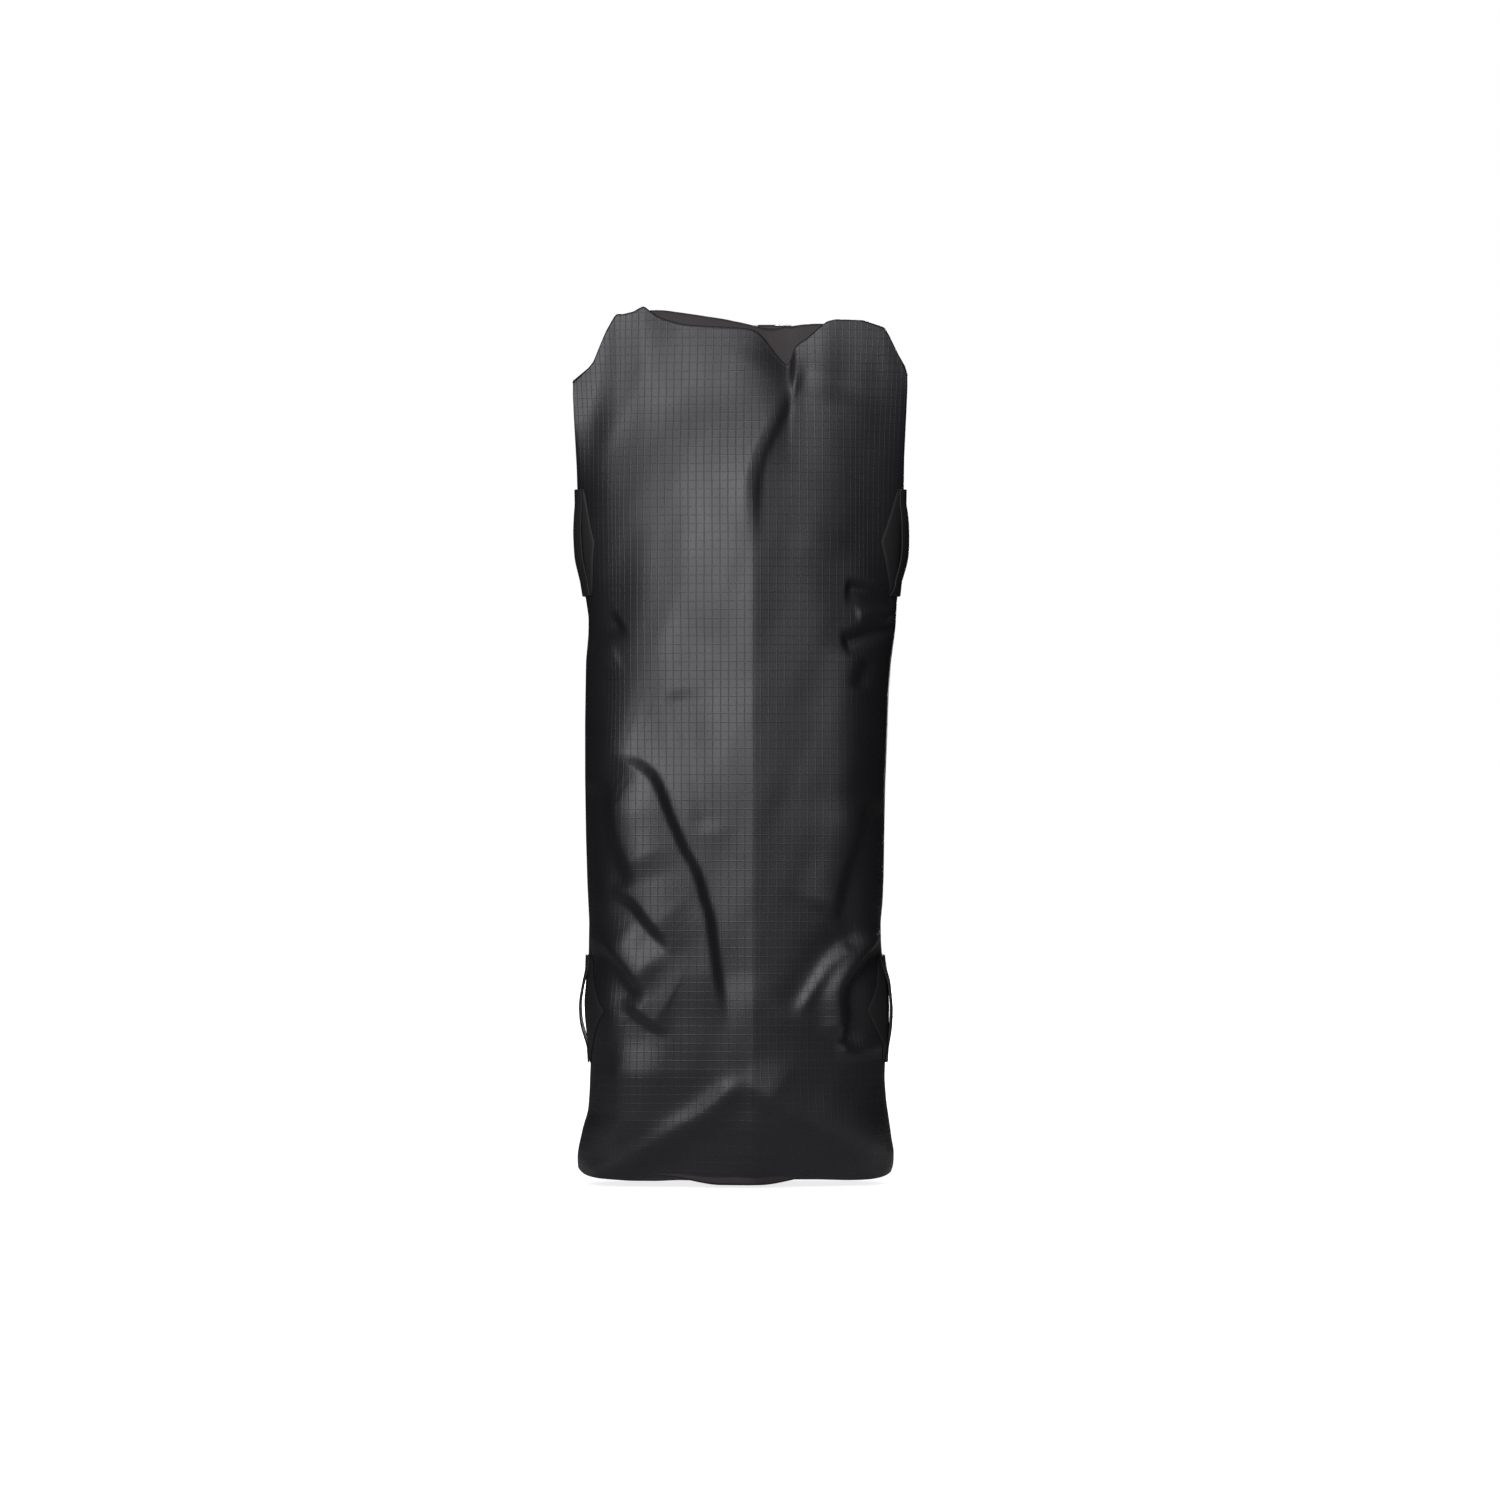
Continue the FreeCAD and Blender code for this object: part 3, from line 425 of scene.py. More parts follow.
def fold_depth(x, z, folds):
    """How far the cloth stands out at each point, in millimetres, from every fold together."""
    depth = np.zeros_like(x)
    for points, height, left, right in folds:
        line = smooth_line(points)
        reach = 3.2 * max(left, right)
        low, high = line.min(0) - reach, line.max(0) + reach
        inside = (x > low[0]) & (x < high[0]) & (z > low[1]) & (z < high[1])
        if not inside.any():
            continue
        p = np.stack([x[inside], z[inside]], 1)
        start, run = line[:-1], np.diff(line, axis=0)
        length = np.hypot(*run.T)
        ends = np.clip(max(left, right) / length.sum(), 0.12, 0.36)
        share = np.einsum("nij,ij->ni", p[:, None] - start, run) / length ** 2
        share = np.clip(share, 0, 1)
        away = p[:, None] - (start + share[..., None] * run)
        gap = np.hypot(away[..., 0], away[..., 1])
        best = gap.argmin(1)
        row = np.arange(len(p))
        travel = (best + share[row, best]) / len(run)
        cross = run[best, 0] * away[row, best, 1] - run[best, 1] * away[row, best, 0]
        # a line drawn downwards has its left side on negative cross products
        width = np.where(cross < 0, left, right)
        fade = np.clip(np.minimum(travel, 1 - travel) / ends, 0, 1)
        fade = fade * fade * (3 - 2 * fade)
        depth[inside] += height * fade * np.exp(-(gap[row, best] / width) ** 2)
    return depth


probe = fold_depth(np.array([11.0, -45.0]), np.array([300.0, 264.0]), NEAR_FOLDS)
print("fold depth at the seam and on the long crease:", probe.round(2))

# %% [markdown]
# ## The wall as one surface
#
# A bag is one tube of cloth, so one function gives any point of it: which wall, how far across, how far
# up, and how far off the cloth. Each level is a superellipse, round at the sides and nearly flat across,
# with the seam standing forward like the ridge of a roof. The folds and a faint rumple are added along
# the wall's own outward direction. Panels, tapes, lining and patches then all follow the same cloth.

# %% Points on the wall
FOLD_AXIS = 650.5
ANKLE, NECK = 42.0, 526.0
ANKLE_SHARE, NECK_SHARE = 0.065, 0.80
ROUNDNESS = {
    "left": [(0, 7.5), (60, 8.0), (120, 8.0), (300, 7.5), (380, 5.5), (440, 4.2), (500, 3.3),
             (560, 2.9), (650, 3.2)],
    "right": [(0, 5.0), (60, 5.4), (300, 6.0), (440, 4.6), (560, 3.4), (650, 3.6)],
    "far": [(0, 5.0), (60, 5.4), (300, 5.0), (440, 4.2), (560, 3.4), (650, 3.6)],
}
RIDGE = [(0, 11), (505, 11), (530, 14), (545, 18), (568, 27), (590, 37), (610, 43), (660, 46)]
RIDGE_TILT = {"left": 0.26, "right": 0.32, "far": 0.16}
TILT_GAIN = {
    "left": [(0, 1.0), (60, 0.6), (110, 0.2), (290, 0.2), (350, 0.9), (400, 1.0), (540, 2.0),
             (600, 2.7), (660, 2.7)],
    "right": [(0, 1.5), (100, 1.4), (190, 1.0), (400, 1.0), (540, 2.0), (600, 2.7), (660, 2.7)],
    "far": [(0, 1.0), (400, 1.0), (540, 2.0), (600, 2.7), (660, 2.7)],
}
CORNER_TOP = {"left": 602.0, "right": 606.0}
LIP = {"left": 2.0, "right": 2.0, "far": 1.0}


def table_at(table, x):
    keys, values = np.array(table, float).T
    return np.interp(x, keys, values)


def top_edge(x, side):
    """Height of the cloth's fold at the mouth."""
    return smooth_table(FAR_TOP if side == "far" else TOP_EDGE, x, 1.5)


def level_height(v, low, high):
    """Height at a share v of the way up: level rows in the middle, shaped ones at the hem and the mouth."""
    v = np.clip(v, 0, 1)
    leg = low + (ANKLE - low) * v / ANKLE_SHARE
    trunk = ANKLE + (NECK - ANKLE) * (v - ANKLE_SHARE) / (NECK_SHARE - ANKLE_SHARE)
    throat = NECK + (high - NECK) * (v - NECK_SHARE) / (1 - NECK_SHARE)
    return np.where(v < ANKLE_SHARE, leg, np.where(v < NECK_SHARE, trunk, throat))


def share_at(height):
    """The share v of a height in the middle stretch."""
    return ANKLE_SHARE + (height - ANKLE) / (NECK - ANKLE) * (NECK_SHARE - ANKLE_SHARE)


def base_point(side, q, v):
    """A point of the wall without folds. q runs 0 to 1 from left to right as seen from outside."""
    if side == "left":
        turn, sign, middle = q - 1, 1.0, SEAM
    elif side == "right":
        turn, sign, middle = q, 1.0, SEAM
    else:
        turn, sign, middle = 2 * q - 1, -1.0, 1.5
    level = level_height(v, 0.0, FOLD_AXIS)
    power = smooth_table(ROUNDNESS[side], level, 30.0)
    # this power spaces the columns evenly where the wall is flat
    angle = np.sign(turn) * np.abs(turn) ** (power / 2) * math.pi / 2
    across = np.sign(angle) * np.abs(np.sin(angle)) ** (2 / power) * sign
    left_level = level_height(v, table_at(HEM_EDGE, -121.0), CORNER_TOP["left"])
    right_level = level_height(v, table_at(HEM_EDGE, 117.0), CORNER_TOP["right"])
    left = smooth_table(LEFT_EDGE, np.minimum(left_level, 596))
    right = smooth_table(RIGHT_EDGE, np.minimum(right_level, 601))
    x = middle + across * np.where(across < 0, left + middle, right - middle)
    z = level_height(v, smooth_table(HEM_EDGE, x), top_edge(x, side))
    # a low place in the top edge closes the cloth only near that edge
    throat = np.clip((v - NECK_SHARE) / (1 - NECK_SHARE), 0, 1)
    closing = z + (FOLD_AXIS - top_edge(x, side)) * throat ** 3
    closing = np.where(v < NECK_SHARE, level, closing)
    reach = np.clip((closing - 60) / 8, 5, 26)
    depth = smooth_table(FAR_DEPTH if side == "far" else NEAR_DEPTH, closing, reach)
    aside = x - (smooth_table(RIDGE, z, 12.0) if side != "far" else middle)
    hand = RIDGE_TILT["far"]
    if side != "far":
        hand = np.where(aside < 0, RIDGE_TILT["left"], RIDGE_TILT["right"])
    slope = hand * smooth_table(TILT_GAIN[side], level, 30.0) * (np.hypot(aside, 1.5) - 1.5) / 118
    y = depth * np.cos(angle) * np.maximum(1 - slope, 0.15)
    return x, y if side == "far" else -y, z


def rumple(x, z, seed):
    """A faint uneven swell, from a few slow waves in set directions."""
    rng = np.random.default_rng(seed)
    total = np.zeros_like(x)
    for _ in range(26):
        turn, length, phase = rng.uniform(0, math.pi), rng.uniform(16, 70), rng.uniform(0, 2 * math.pi)
        wave = 2 * math.pi / length
        total += length / 45 * np.sin(wave * (x * math.cos(turn) + z * math.sin(turn) * 0.6) + phase)
    return total * 0.055


def seen_place(x, y, z):
    """Where the camera sees a point, measured on the plane through the side seams."""
    grow = DISTANCE * 1000 / (DISTANCE * 1000 + y)
    return EYE.x * 1000 + (x - EYE.x * 1000) * grow, EYE.z * 1000 + (z - EYE.z * 1000) * grow


def wall_point(side, q, v, lift=0.0, folds=True):
    """Points of the cloth in millimetres, lift millimetres outside it."""
    q, v = np.broadcast_arrays(np.asarray(q, float), np.asarray(v, float))
    x, y, z = base_point(side, q, v)
    step = 1e-3
    # the centre seam is a corner, so the slope is taken from one side of it there
    x0, y0, _ = base_point(side, np.maximum(q - step, 0) if side == "right" else q - step, v)
    x1, y1, _ = base_point(side, np.minimum(q + step, 1) if side == "left" else q + step, v)
    dx, dy = x1 - x0, y1 - y0
    size = np.hypot(dx, dy) + 1e-9
    nx, ny = dy / size, -dx / size
    depth = np.zeros_like(x)
    if folds:
        share = np.clip(np.abs(y) / (smooth_table(NEAR_DEPTH, z) * 0.30 + 0.5), 0, 1)
        fade = share * share * (3 - 2 * share)
        if side == "far":
            depth = fold_depth(x, z, FAR_FOLDS) * fade + rumple(x, z, 5) * fade
        else:
            px, pz = seen_place(x, y, z)
            depth = fold_depth(px, pz, NEAR_FOLDS) * fade + rumple(x, z, 3) * fade
    x, y = x + nx * (depth + lift), y + ny * (depth + lift)
    over = np.clip(v - 1, 0, None) / 0.02 * math.radians(165)
    inward = -1.0 if side == "far" else 1.0
    y = y + inward * LIP[side] * (1 - np.cos(over))
    z = z + LIP[side] * np.sin(over)
    return np.stack([x, y, z], -1)


FAR_FOLDS = [
    ([(0, 600), (4, 520), (2, 440)], 1.6, 30, 30),
    ([(-70, 560), (-40, 470), (-30, 380), (-34, 300)], 2.6, 30, 12),
    ([(72, 590), (56, 520), (50, 430), (56, 350)], 2.4, 14, 26),
    ([(90, 440), (66, 380), (44, 300), (34, 210), (30, 140)], 4.0, 8, 26),
    ([(-96, 420), (-80, 396), (-60, 380)], -3.2, 8, 12),
    ([(100, 300), (84, 250), (70, 190)], 3.2, 8, 12),
    ([(-100, 330), (-82, 270), (-62, 190), (-52, 130)], 3.6, 18, 7),
    ([(-104, 220), (-92, 190), (-84, 160)], -3.2, 8, 8),
    ([(98, 190), (88, 160), (84, 130)], -3.6, 8, 8),
    ([(-104, 14), (-80, 30), (-52, 52), (-24, 70), (0, 78)], 3.8, 8, 12),
    ([(0, 78), (24, 70), (52, 52), (80, 30), (104, 14)], 3.8, 12, 8),
    ([(-90, 20), (0, 24), (90, 20)], -2.2, 18, 18),
]

probe = wall_point("left", np.array([0.0, 1.0]), np.array([0.5, 0.5]))
print("side seam and centre seam half way up:", probe.round(1).tolist())


# %% Sheets of cloth from a grid
def sheet_from_grid(name, columns, rows, place, closed=False):
    """A grid whose every point is moved to place(q, v), with its cloth coordinates in a UV map in metres."""
    grid = bmesh.new()
    bmesh.ops.create_grid(grid, x_segments=columns, y_segments=rows, size=0.5)
    spots = np.array([v.co[:2] for v in grid.verts]) + 0.5
    points, cloth = place(spots[:, 0], spots[:, 1])
    for vert, point in zip(grid.verts, points * MM):
        vert.co = point
    layer = grid.loops.layers.uv.new("cloth")
    cloth = cloth * MM
    for face in grid.faces:
        for loop in face.loops:
            loop[layer].uv = cloth[loop.vert.index]
        face.smooth = True
    if closed:
        bmesh.ops.remove_doubles(grid, verts=grid.verts, dist=1e-6)
    for edge in grid.edges:
        edge.smooth = not edge.is_boundary
    mesh = bpy.data.meshes.new(name)
    grid.to_mesh(mesh)
    grid.free()
    piece = bpy.data.objects.new(name, mesh)
    bpy.context.scene.collection.objects.link(piece)
    return piece


def thicken(piece, thickness, offset=-1.0):
    wall = piece.modifiers.new("thickness", "SOLIDIFY")
    wall.thickness = thickness * MM
    wall.offset = offset
    return piece


def dress(piece, finish, slot, *nodes):
    """Gives a piece its finish and hides the solids it stands for."""
    piece.data.materials.append(finish)
    if nodes:
        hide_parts(*nodes)
    print(piece.name, len(piece.data.polygons), "faces")
    return piece


# %% [markdown]
# ## The three outer panels
#
# Each panel is one sheet from the hem to the fold at the mouth, where it rolls over its own edge. The
# right near panel lies a hair lower at the centre seam than the left one, which is how a lapped and
# heat-sealed seam looks: a fine dark line with a lip on one side.

# %% Outer panels
def panel(side, inset=0.0, lift=0.0, v_top=1.02, folds=True, v_low=0.0):
    """Returns the function that places a panel's grid."""
    def place(q, v):
        span = q * (1 - inset) if side == "left" else inset + q * (1 - inset) if side == "right" else q
        rise = v_low + v * (v_top - v_low)
        near_seam = np.clip(1 - np.abs((1 if side == "left" else 0) - span) / 0.02, 0, 1)
        lap = -0.05 * near_seam if side == "right" else 0.0
        points = wall_point(side, span, rise, lift + lap, folds)
        x, y, _ = base_point(side, span, np.clip(rise, 0, 1))
        if side == "far":
            across = -(x - 1.5) * (1 + 0.18 * (np.abs(x) / 120) ** 3)
        else:
            across = (x - SEAM) * (1 + 0.16 * (np.abs(x) / 120) ** 3)
            past = np.abs(y + smooth_table(NEAR_DEPTH, points[..., 2]))
            bend = np.clip((np.abs(x) - 85) / 10, 0, 1) * past * 0.35
            across = across + bend * np.sign(x)
        return points, np.stack([across, points[..., 2]], -1)
    return place


near_left = sheet_from_grid("near_panel_left", 96, 400, panel("left", inset=0.0001))
near_right = sheet_from_grid("near_panel_right", 88, 400, panel("right", inset=0.0001))
far = sheet_from_grid("far_panel", 130, 300, panel("far"))
for piece, node in ((near_left, "back_panel_left"), (near_right, "back_panel_right"), (far, "front_panel")):
    thicken(piece, 0.7)
    dress(piece, RIPSTOP, "ripstop", node)
    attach(piece, "bag")

# %% [markdown]
# ## Inner layers
#
# The tapes and the lining are hidden while the bag is shut, but they are real pieces of it. They use the
# same surface, a little further in, so they can't come through the cloth.

# %% Tapes and lining
def strip_on(side, q_low, q_high, v_low, v_high, lift):
    def place(q, v):
        points = wall_point(side, q_low + q * (q_high - q_low), v_low + v * (v_high - v_low), lift)
        return points, np.stack([points[..., 0], points[..., 2]], -1)
    return place


seam_tape = sheet_from_grid("centre_seam_tape_strip", 4, 260, strip_on("right", 0.0, 0.055, 0.03, 0.90, -1.3))
thicken(seam_tape, 0.3)
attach(dress(seam_tape, TAPE, "seam_tape", "centre_seam_tape"), "bag")
for name, side, low, high in (("left", "far", 0.955, 1.0), ("right", "far", 0.0, 0.045)):
    tape = sheet_from_grid(f"side_tape_{name}", 4, 220, strip_on(side, low, high, 0.03, 0.80, -1.3))
    thicken(tape, 0.3)
    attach(dress(tape, TAPE, "seam_tape", f"side_seam_tape_{name}"), "bag")


def lining_place(side):
    def place(q, v):
        points = wall_point(side, q, 0.035 + v * 0.84, -2.4)
        return points, np.stack([points[..., 0], points[..., 2]], -1)
    return place


for side in ("left", "right", "far"):
    inner = sheet_from_grid(f"lining_{side}", 40, 120, lining_place(side))
    thicken(inner, 0.4)
    dress(inner, LINING, "lining")
    if side == "far":
        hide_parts("lining_front")
    if side == "left":
        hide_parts("lining_back")
    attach(inner, "bag")

# %% [markdown]
# ## Base pan
#
# The bag stands on a pan of smooth coated cloth that is welded inside the hem. Its middle hangs a few
# millimetres lower than its ends, so only the middle touches the ground. A grid whose columns go round
# and whose rows go from the centre out and then up the rim makes it in one sheet.

# %% Base pan
PAN_EDGE_SHARE, PAN_RIM = 0.72, 15.0
PAN_GROUND, INNER_LIFT = 0.75, 2.0


def hem_loop(turn):
    """Points once round the hem, for turn from 0 to 1, starting at the left side seam."""
    parts = (("left", turn * 4), ("right", turn * 4 - 1), ("far", turn * 2 - 1))
    spots = [base_point(side, np.clip(q, 0, 1), 0.012)[:2] for side, q in parts]
    which = [turn < 0.25, turn < 0.5, turn >= 0.5]
    return [np.select(which, [s[axis] for s in spots]) for axis in (0, 1)]


def pan_place(q, v, rim=PAN_RIM):
    rim_x, rim_y = hem_loop(q)
    out = np.clip(v / PAN_EDGE_SHARE, 0, 1)
    up = np.clip((v - PAN_EDGE_SHARE) / (1 - PAN_EDGE_SHARE), 0, 1)
    x, y = rim_x * out * 0.978, rim_y * out * 0.955
    ends = np.clip((np.abs(x - 2) - 14) / 44, 0, 1)
    lift = ends * ends * (3 - 2 * ends) * 6.0 + 2.4 * out ** 4
    return np.stack([x, y, PAN_GROUND + lift + up * (rim - lift)], -1), np.stack([x, y + up * 15], -1)


pan = sheet_from_grid("base_pan", 160, 60, pan_place, closed=True)
thicken(pan, 0.7)
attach(dress(pan, SMOOTH_CLOTH, "smooth_cloth", "base_panel"), "bag")


def inner_pan_place(q, v):
    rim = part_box("lining_base")[1][2] / MM - PAN_GROUND - INNER_LIFT
    points, cloth = pan_place(q, v, rim)
    return points * (0.965, 0.93, 1.0) + (0, 0, INNER_LIFT), cloth


inner_pan = sheet_from_grid("lining_pan", 80, 24, inner_pan_place, closed=True)
thicken(inner_pan, 0.4)
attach(dress(inner_pan, LINING, "lining", "lining_base"), "bag")

# %% [markdown]
# ## Lash points
#
# A lash point is a matt patch, a long hexagon wrapped round the side and welded down, with a strip over
# it that is welded only at its ends. A cord goes behind the strip. The patch and strip are laid out by
# distance along the cloth from the side seam, so they wrap as the real ones do.

# %% Points by distance round the side
def girth(hand, side, height):
    """Shares, distances from the side seam and places across, for one level of one wall."""
    spots = np.linspace(0, 0.8, 160)
    if side == "far":
        spots = spots * 0.5
    q = spots if (hand == "left") == (side != "far") else 1 - spots
    x, y, _ = base_point(side, q, np.full_like(q, share_at(height)))
    return q, np.concatenate([[0], np.cumsum(np.hypot(np.diff(x), np.diff(y)))]), x


def round_side(hand, along, height, lift):
    """Points round one side. along is millimetres of cloth from the side seam, negative to the near side."""
    middle = float(np.mean(height))
    v = share_at(height)
    walls = []
    for side in (hand, "far"):
        q, distance, _ = girth(hand, side, middle)
        walls.append(wall_point(side, np.interp(np.abs(along), distance, q), v, lift))
    return np.where((along < 0)[..., None], *walls)


TAB_LENGTH, TAB_END, TAB_REACH = 80.0, 12.0, 42.0
STRIP_HALF, STRIP_FOOT, STRIP_THICK = 11.0, 11.0, 1.1
# bottom of the tab, rise of its strip, and how far across its near tip is
TABS = {
    ("lower", "left"): (91.5, 3.2, -99.0), ("lower", "right"): (91.5, 1.6, 97.0),
    ("upper", "left"): (440.25, 1.4, -106.5), ("upper", "right"): (440.25, 3.2, 106.5),
}


def patch_place(hand, bottom, tip):
    turn = 1 if hand == "right" else -1
    _, distance, x = girth(hand, hand, bottom + TAB_LENGTH / 2)
    near_reach = float(np.interp(abs(tip), np.abs(x)[::-1], distance[::-1]))
    print("near reach of the", hand, "patch:", round(near_reach, 1))

    def place(q, v):
        height = bottom + v * TAB_LENGTH
        reach = np.where((2 * q - 1) * turn < 0, near_reach, TAB_REACH)
        half = TAB_END + (reach - TAB_END) * (1 - np.abs(2 * v - 1)) ** 0.92
        along = (2 * q - 1) * half * turn
        edge = np.minimum(np.minimum(q, 1 - q), np.minimum(v, 1 - v)) * 2 * half
        lift = 0.35 + 0.5 * np.clip(edge / 1.2, 0, 1)
        return round_side(hand, along, height, lift), np.stack([along, height], -1)
    return place


def strip_place(hand, bottom, rise):
    turn = 1 if hand == "right" else -1

    def place(q, v):
        height = bottom + v * TAB_LENGTH
        along = (2 * q - 1) * STRIP_HALF * turn
        free = np.clip((v * TAB_LENGTH - STRIP_FOOT) / (TAB_LENGTH - 2 * STRIP_FOOT), 0, 1)
        bow = (1 - (2 * free - 1) ** 2) ** 1.15 * rise
        lean = 1 + 0.10 * np.sin(free * 7)
        lift = 1.15 + bow * lean
        return round_side(hand, along, height, lift), np.stack([along, height], -1)
    return place


for (row, hand), (bottom, rise, tip) in TABS.items():
    patch = sheet_from_grid(f"lash_patch_{row}_{hand}_sheet", 40, 40, patch_place(hand, bottom, tip))
    thicken(patch, 0.5, offset=0.0)
    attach(dress(patch, LASH, "lash", f"lash_patch_{row}_{hand}"), "bag")
    strip = sheet_from_grid(f"lash_strip_{row}_{hand}", 10, 60, strip_place(hand, bottom, rise))
    thicken(strip, STRIP_THICK, offset=1.0)
    rim = strip.modifiers.new("soft_edge", "BEVEL")
    rim.width, rim.segments = 0.3 * MM, 2
    rim.limit_method = "ANGLE"
    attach(dress(strip, LASH, "lash", f"lash_loop_{row}_{hand}"), "bag")

# %% [markdown]
# ## Rolled collar
#
# Above the mouth the two walls run on as a plain coated collar. It goes over the fold at the mouth,
# down the far side, and is rolled up on itself with two stiffening strips at the core. It is one sheet
# from behind the near panel to the core.

# %% Roll's own frame
ROLL_SHIFT, ROLL_HALF = 6.0, 94.0
SLOPE = math.atan2(10.5, 46.0)


def on_roll(x, out, up):
    """Millimetres in the row frame from the roll's own: out from the far wall, up along it."""
    y = out * math.cos(SLOPE) - up * math.sin(SLOPE)
    z = out * math.sin(SLOPE) + up * math.cos(SLOPE) + FOLD_AXIS
    return np.stack(np.broadcast_arrays(x, y, z), -1)


ROLL_PATH = [(12.2, -3.5), (12.9, -9), (13.1, -20), (12.9, -34), (12.6, -43), (11.4, -46.4), (9.2, -47.6),
             (7.2, -46.4), (6.0, -43), (5.7, -34), (5.6, -20), (5.7, -12.8), (6.0, -11.4), (6.6, -11),
             (7.1, -11.6), (7.3, -13), (7.4, -24), (7.4, -41)]
CREST = [(-100, 640), (-91, 646.5), (-80, 648.5), (-74, 652), (-70, 654.8), (-62, 655.2),
         (-55, 655), (-45, 653.6),
         (-36, 652.3), (-20, 650), (-8, 648), (5, 645.2), (15, 642.8), (21, 641.6), (26, 641.4), (32, 642),
         (40, 643.2), (48, 644.3), (58, 645), (66, 645), (72, 644), (84, 643.6), (94, 643),
         (100, 641), (106, 639)]


def collar_place(q, v):
    x = ROLL_SHIFT + (2 * q - 1) * ROLL_HALF
    crest = smooth_table(CREST, x, 3.0)
    tuck = smooth_table(TOP_EDGE, x, 6.0) - 13
    path = smooth_line(ROLL_PATH, 160)
    rolled = on_roll(x[:, None] * np.ones(len(path)),
                     path[:, 0] + 0 * x[:, None], path[:, 1] + 0 * x[:, None])
    # the top of the roll sags with the fold above it
    high = np.clip((path[:, 1] + 20) / 16, 0, 1)
    rolled[..., 2] -= np.clip(651 - crest, 0, None)[:, None] * high * high * (3 - 2 * high)
    arch = np.linspace(0, 1, 60)
    first = rolled[:, 0]
    turn = arch * math.pi / 2
    near_leg = np.stack(np.broadcast_arrays(
        x[:, None], 1.6 - 2.0 * np.cos(turn), tuck[:, None] + (crest - tuck)[:, None] * np.sin(turn)), -1)
    far_leg = np.stack(np.broadcast_arrays(
        x[:, None], 1.6 + (first[:, 1:2] - 1.6) * np.sin(turn),
        first[:, 2:3] + (crest[:, None] - first[:, 2:3]) * np.cos(turn)), -1)
    whole = np.concatenate([near_leg, far_leg[:, 1:], rolled[:, 1:]], 1)
    steps = np.linalg.norm(np.diff(whole, axis=1), axis=2)
    travel = np.concatenate([np.zeros((len(x), 1)), np.cumsum(steps, 1)], 1)
    want = v * travel[:, -1]
    out = np.empty((len(x), 3))
    for row in range(len(x)):
        for axis in range(3):
            out[row, axis] = np.interp(want[row], travel[row], whole[row, :, axis])
    return out, np.stack([x, want], -1)


collar = sheet_from_grid("rolled_collar_cloth", 110, 170, collar_place)
thicken(collar, 0.8)
dress(collar, SMOOTH_CLOTH, "smooth_cloth", "rolled_collar", "collar_fold")
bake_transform(collar)

# %% [markdown]
# ## Webbing and stiffeners
#
# Two flat plastic strips stiffen the edge of the mouth, and the webbing is sewn to their ends. Each
# webbing turns round the end of the roll, comes back along its face, goes round a bar of the buckle and
# ends in a short sewn tail. It is a ribbon that follows a line, with ribs across it and a thicker edge.
# The left webbing runs from the roll to the plug.

# %% Webbing finish
def webbing_finish():
    material = bpy.data.materials.new("ribbed_webbing")
    material.use_nodes = True
    tree = material.node_tree
    tree.nodes.clear()
    add = nodes_of(tree)
    uv = add("ShaderNodeUVMap", {"uv_map": "cloth"})
    parts = add("ShaderNodeSeparateXYZ", Vector=uv.outputs[0])
    across, along = parts.outputs[0], parts.outputs[1]
    rib = number(tree, "PINGPONG", number(tree, "DIVIDE", along, 0.0016), 0.5)
    lean = number(tree, "ADD", across, number(tree, "MULTIPLY", along, 0.5))
    thread = number(tree, "PINGPONG", number(tree, "DIVIDE", lean, 0.0009), 0.5)
    fuzz = add("ShaderNodeTexNoise", Vector=uv.outputs[0], Scale=1400.0, Detail=3.0)
    height = number(tree, "ADD", number(tree, "ADD", rib, number(tree, "MULTIPLY", thread, 0.6)),
                    number(tree, "MULTIPLY", fuzz.outputs[0], 0.5))
    bump = add("ShaderNodeBump", Strength=0.7, Distance=0.0003, Height=height)
    # The colour follows the rib height, so the grooves between ribs are darker: painted shade; the fuzz noise
    # is the yarn's own uneven tone.
    colour = ramp(tree, number(tree, "ADD", rib, number(tree, "MULTIPLY", fuzz.outputs[0], 0.5)),
                  (0.006, 0.006, 0.007), (0.020, 0.020, 0.022))
    shader = add("ShaderNodeBsdfPrincipled", Base_Color=colour, Roughness=0.62, Normal=bump.outputs[0])
    shader.inputs["Specular IOR Level"].default_value = 0.35
    add("ShaderNodeOutputMaterial", Surface=shader.outputs[0])
    return material


WEBBING = webbing_finish()

# %% Ribbons
ROLL_MIDDLE, WEB_HALF, WEB_THICK = -25.9, 12.5, 1.4
FACE_Y = 19.33


def web_path(bar):
    """Distance across and out from the wall, from the stiffeners' end to the sewn tail."""
    turn = [(86.4, 9.9), (92, 9.9), (97, 9.95), (101.4, 11.6), (102.8, 14.6), (101.2, 17.9), (96, 18.9),
            (88, 17.6), (74, 16.9), (bar + 24, 17.6), (bar + 14, 19.4), (bar + 6, 21.9)]
    ring = [(bar + 3.2 * math.cos(a), FACE_Y + 3.2 * math.sin(a))
            for a in np.linspace(math.pi / 2, 1.5 * math.pi, 7)]
    return turn + ring + [(bar + 7, 15.6), (bar + 20, 15.0)]


def web_place(hand, bar):
    line = smooth_line(web_path(bar), 300)
    travel = np.concatenate([[0], np.cumsum(np.hypot(*np.diff(line, axis=0).T))])

    def place(q, v):
        want = v * travel[-1]
        x, out = np.interp(want, travel, line[:, 0]), np.interp(want, travel, line[:, 1])
        across = (2 * q - 1) * WEB_HALF
        return on_roll(ROLL_SHIFT + hand * x, out, ROLL_MIDDLE - hand * across), np.stack([across, want], -1)
    return place


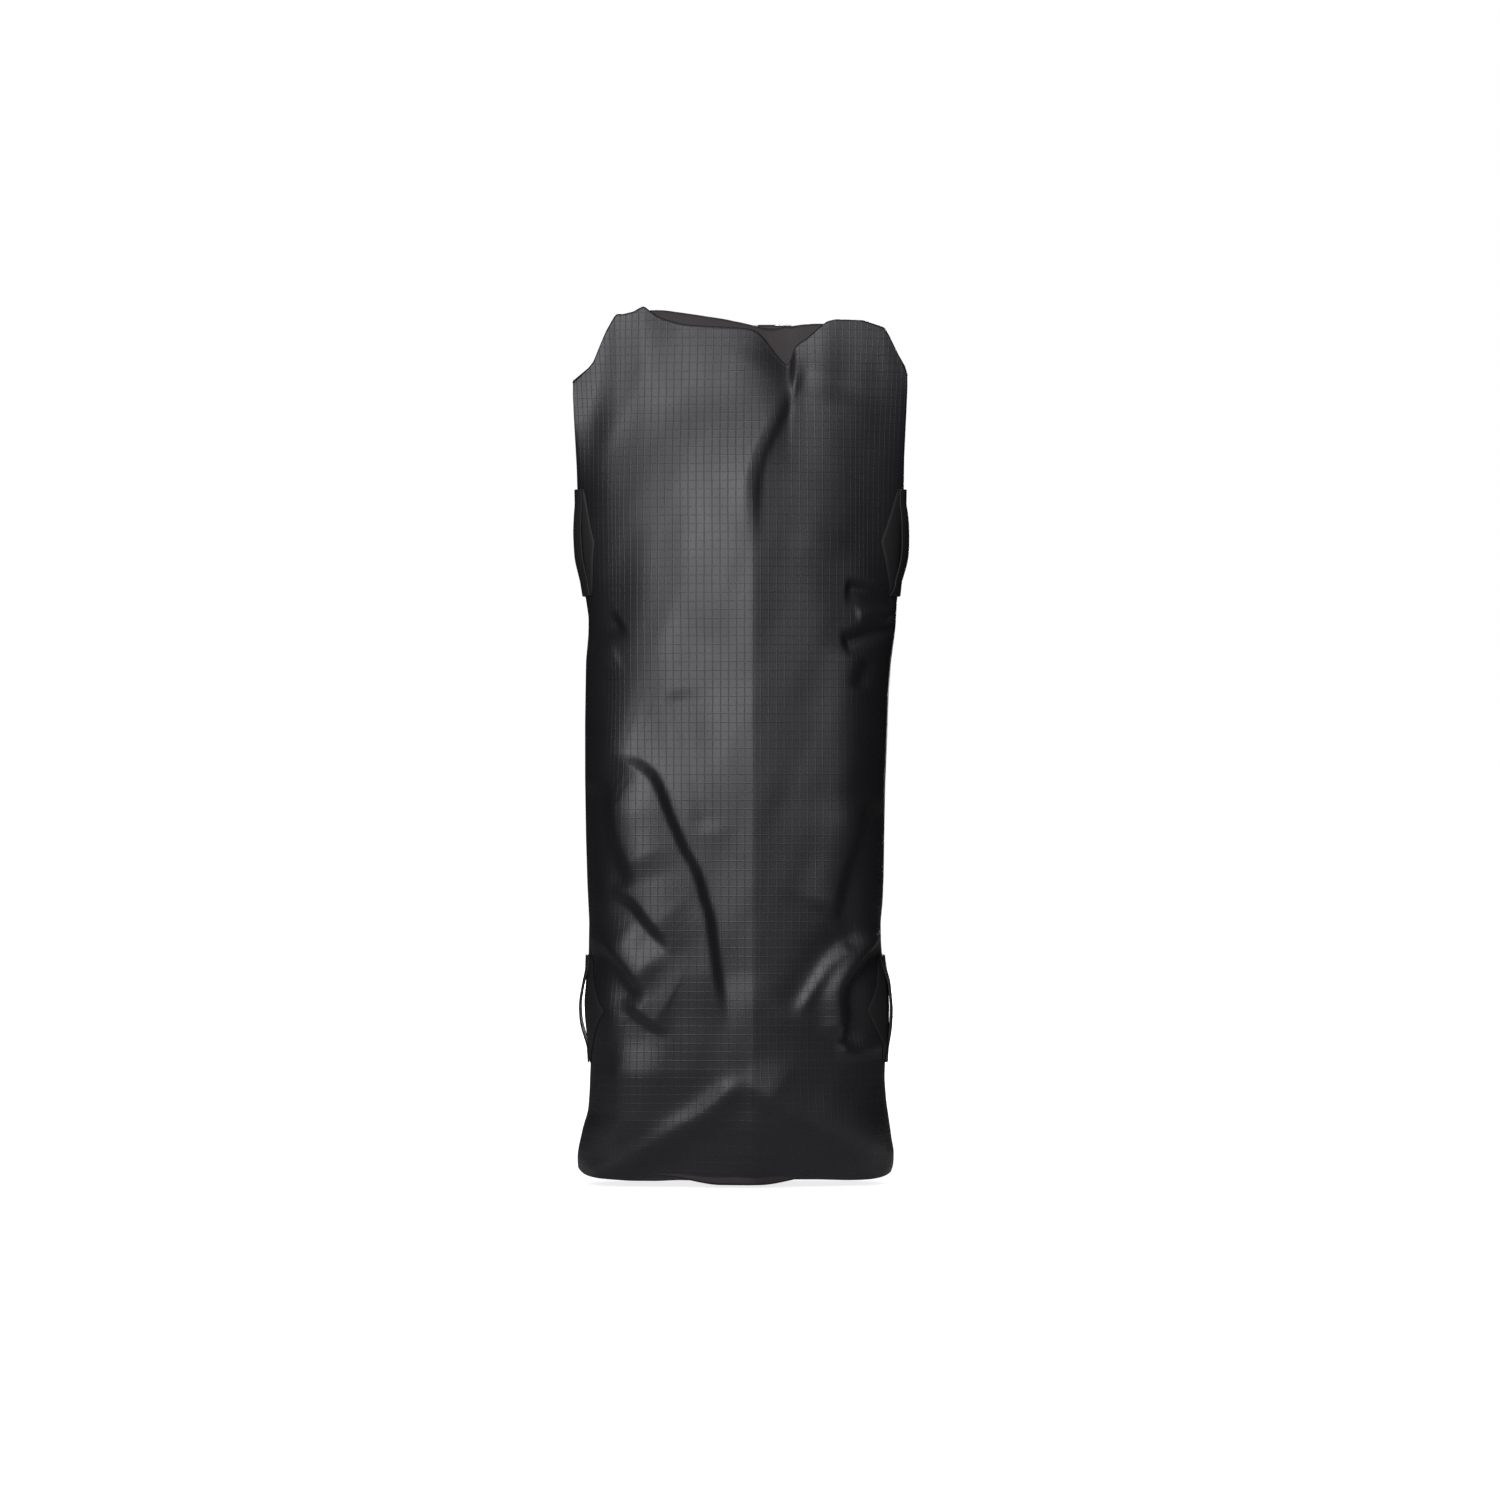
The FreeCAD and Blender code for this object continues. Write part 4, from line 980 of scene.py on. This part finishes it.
for name, hand, bar in (("left", -1, 13.2), ("right", 1, 32.2)):
    web = sheet_from_grid(f"webbing_{name}", 16, 220, web_place(hand, bar))
    thicken(web, WEB_THICK, offset=0.0)
    rim = web.modifiers.new("soft_edge", "BEVEL")
    rim.width, rim.segments = 0.35 * MM, 2
    rim.limit_method = "ANGLE"
    dress(web, WEBBING, "webbing", f"strap_{name}")
    if name == "left":
        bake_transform(web)
    else:
        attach(web, "roll_top")

# %% Stiffening strips
for name, out in (("inner", 8.68), ("outer", 10.03)):
    def strip_in_roll(q, v, out=out):
        x, up = (2 * q - 1) * 86, -14.5 - v * 27.5
        return on_roll(ROLL_SHIFT + x, out + 0 * x, up), np.stack([x, up], -1)

    strip = sheet_from_grid(f"stiffener_{name}", 60, 12, strip_in_roll)
    thicken(strip, 1.0, offset=0.0)
    rim = strip.modifiers.new("soft_edge", "BEVEL")
    rim.width, rim.segments = 0.25 * MM, 2
    rim.limit_method = "ANGLE"
    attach(dress(strip, PLASTIC, "stiffener", f"mouth_stiffener_{name}"), "roll_top")

# %% [markdown]
# ## Buckle
#
# The side-release buckle is moulded, so its solids are already the right shape and only get the finish:
# a fine spark-eroded grain and a slow change of gloss, as a tool leaves on black acetal.

# %% Buckle finish
for name in ("buckle_socket", "buckle_plug", "buckle_prong_upper", "buckle_prong_lower"):
    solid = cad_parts[name]
    solid.data.materials.clear()
    solid.data.materials.append(PLASTIC)

# %% [markdown]
# ## Flat sizes
#
# A bag begins as flat cloth, so the size that each sheet is cut to is worked out and printed. A solid made
# from cloth is thin and has two skins: half its skin is the cloth's area, and half of what a plane cuts from
# it is the cloth's length along that plane. The collar stands for two solids, one after the other.

# %% What a thin solid was cut from
def plane_cut(skin, spot, axis, **clear):
    """Cuts a mesh at one place on one axis, and returns the length of the cut in metres."""
    made = bmesh.ops.bisect_plane(skin, geom=skin.verts[:] + skin.edges[:] + skin.faces[:],
                                  plane_co=Vector([spot * (i == axis) for i in range(3)]),
                                  plane_no=Vector([float(i == axis) for i in range(3)]), **clear)
    return sum(e.calc_length() for e in made["geom_cut"] if isinstance(e, bmesh.types.BMEdge))


def cloth_cut(node, across, left=-1.0, right=1.0):
    """Width, length and area of a solid's cloth between two x values; across is the width's plane."""
    skin = bmesh.new()
    skin.from_mesh(bpy.data.objects[node].data)
    plane_cut(skin, left, 0, clear_inner=True)
    plane_cut(skin, right, 0, clear_outer=True)
    longest = []
    for axis in (across, 0):
        places = [vert.co[axis] for vert in skin.verts]
        cuts = []
        for share in np.linspace(0.05, 0.95, 19):
            slab = skin.copy()
            cuts.append(plane_cut(slab, min(places) + share * (max(places) - min(places)), axis) / 2)
            slab.free()
        longest.append(max(cuts))
    area = sum(face.calc_area() for face in skin.faces) / 2
    skin.free()
    return longest[0], longest[1], area


seam_x = SEAM * MM
collar_wide = max(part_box(node)[1][0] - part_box(node)[0][0] for node in ("collar_fold", "rolled_collar"))
fold_cut, roll_cut = (cloth_cut(node, 2) for node in ("collar_fold", "rolled_collar"))
for name, held, support, (wide, long, area) in (
        ("near_panel_left", "hung", ["base_pan"], cloth_cut("back_panel_left", 2)),
        ("near_panel_right", "hung", ["base_pan"], cloth_cut("back_panel_right", 2)),
        ("far_panel", "hung", ["base_pan"], cloth_cut("front_panel", 2)),
        ("lining_left", "hung", ["near_panel_left"], cloth_cut("lining_back", 2, right=seam_x)),
        ("lining_right", "hung", ["near_panel_right"], cloth_cut("lining_back", 2, left=seam_x)),
        ("lining_far", "hung", ["far_panel"], cloth_cut("lining_front", 2)),
        ("rolled_collar_cloth", "folded", ["far_panel"],
         (collar_wide, fold_cut[1] + roll_cut[1], fold_cut[2] + roll_cut[2])),
        ("base_pan", "laid", [], cloth_cut("base_panel", 1)),
        ("lining_pan", "laid", ["base_pan"], cloth_cut("lining_base", 1))):
    piece = bpy.data.objects[name]
    shown = sum(face.area for face in piece.data.polygons)
    print(f"{name}: cut {wide:.3f} x {long:.3f} m, {area:.4f} m2; made {shown:.4f}, share {shown / area:.2f}")
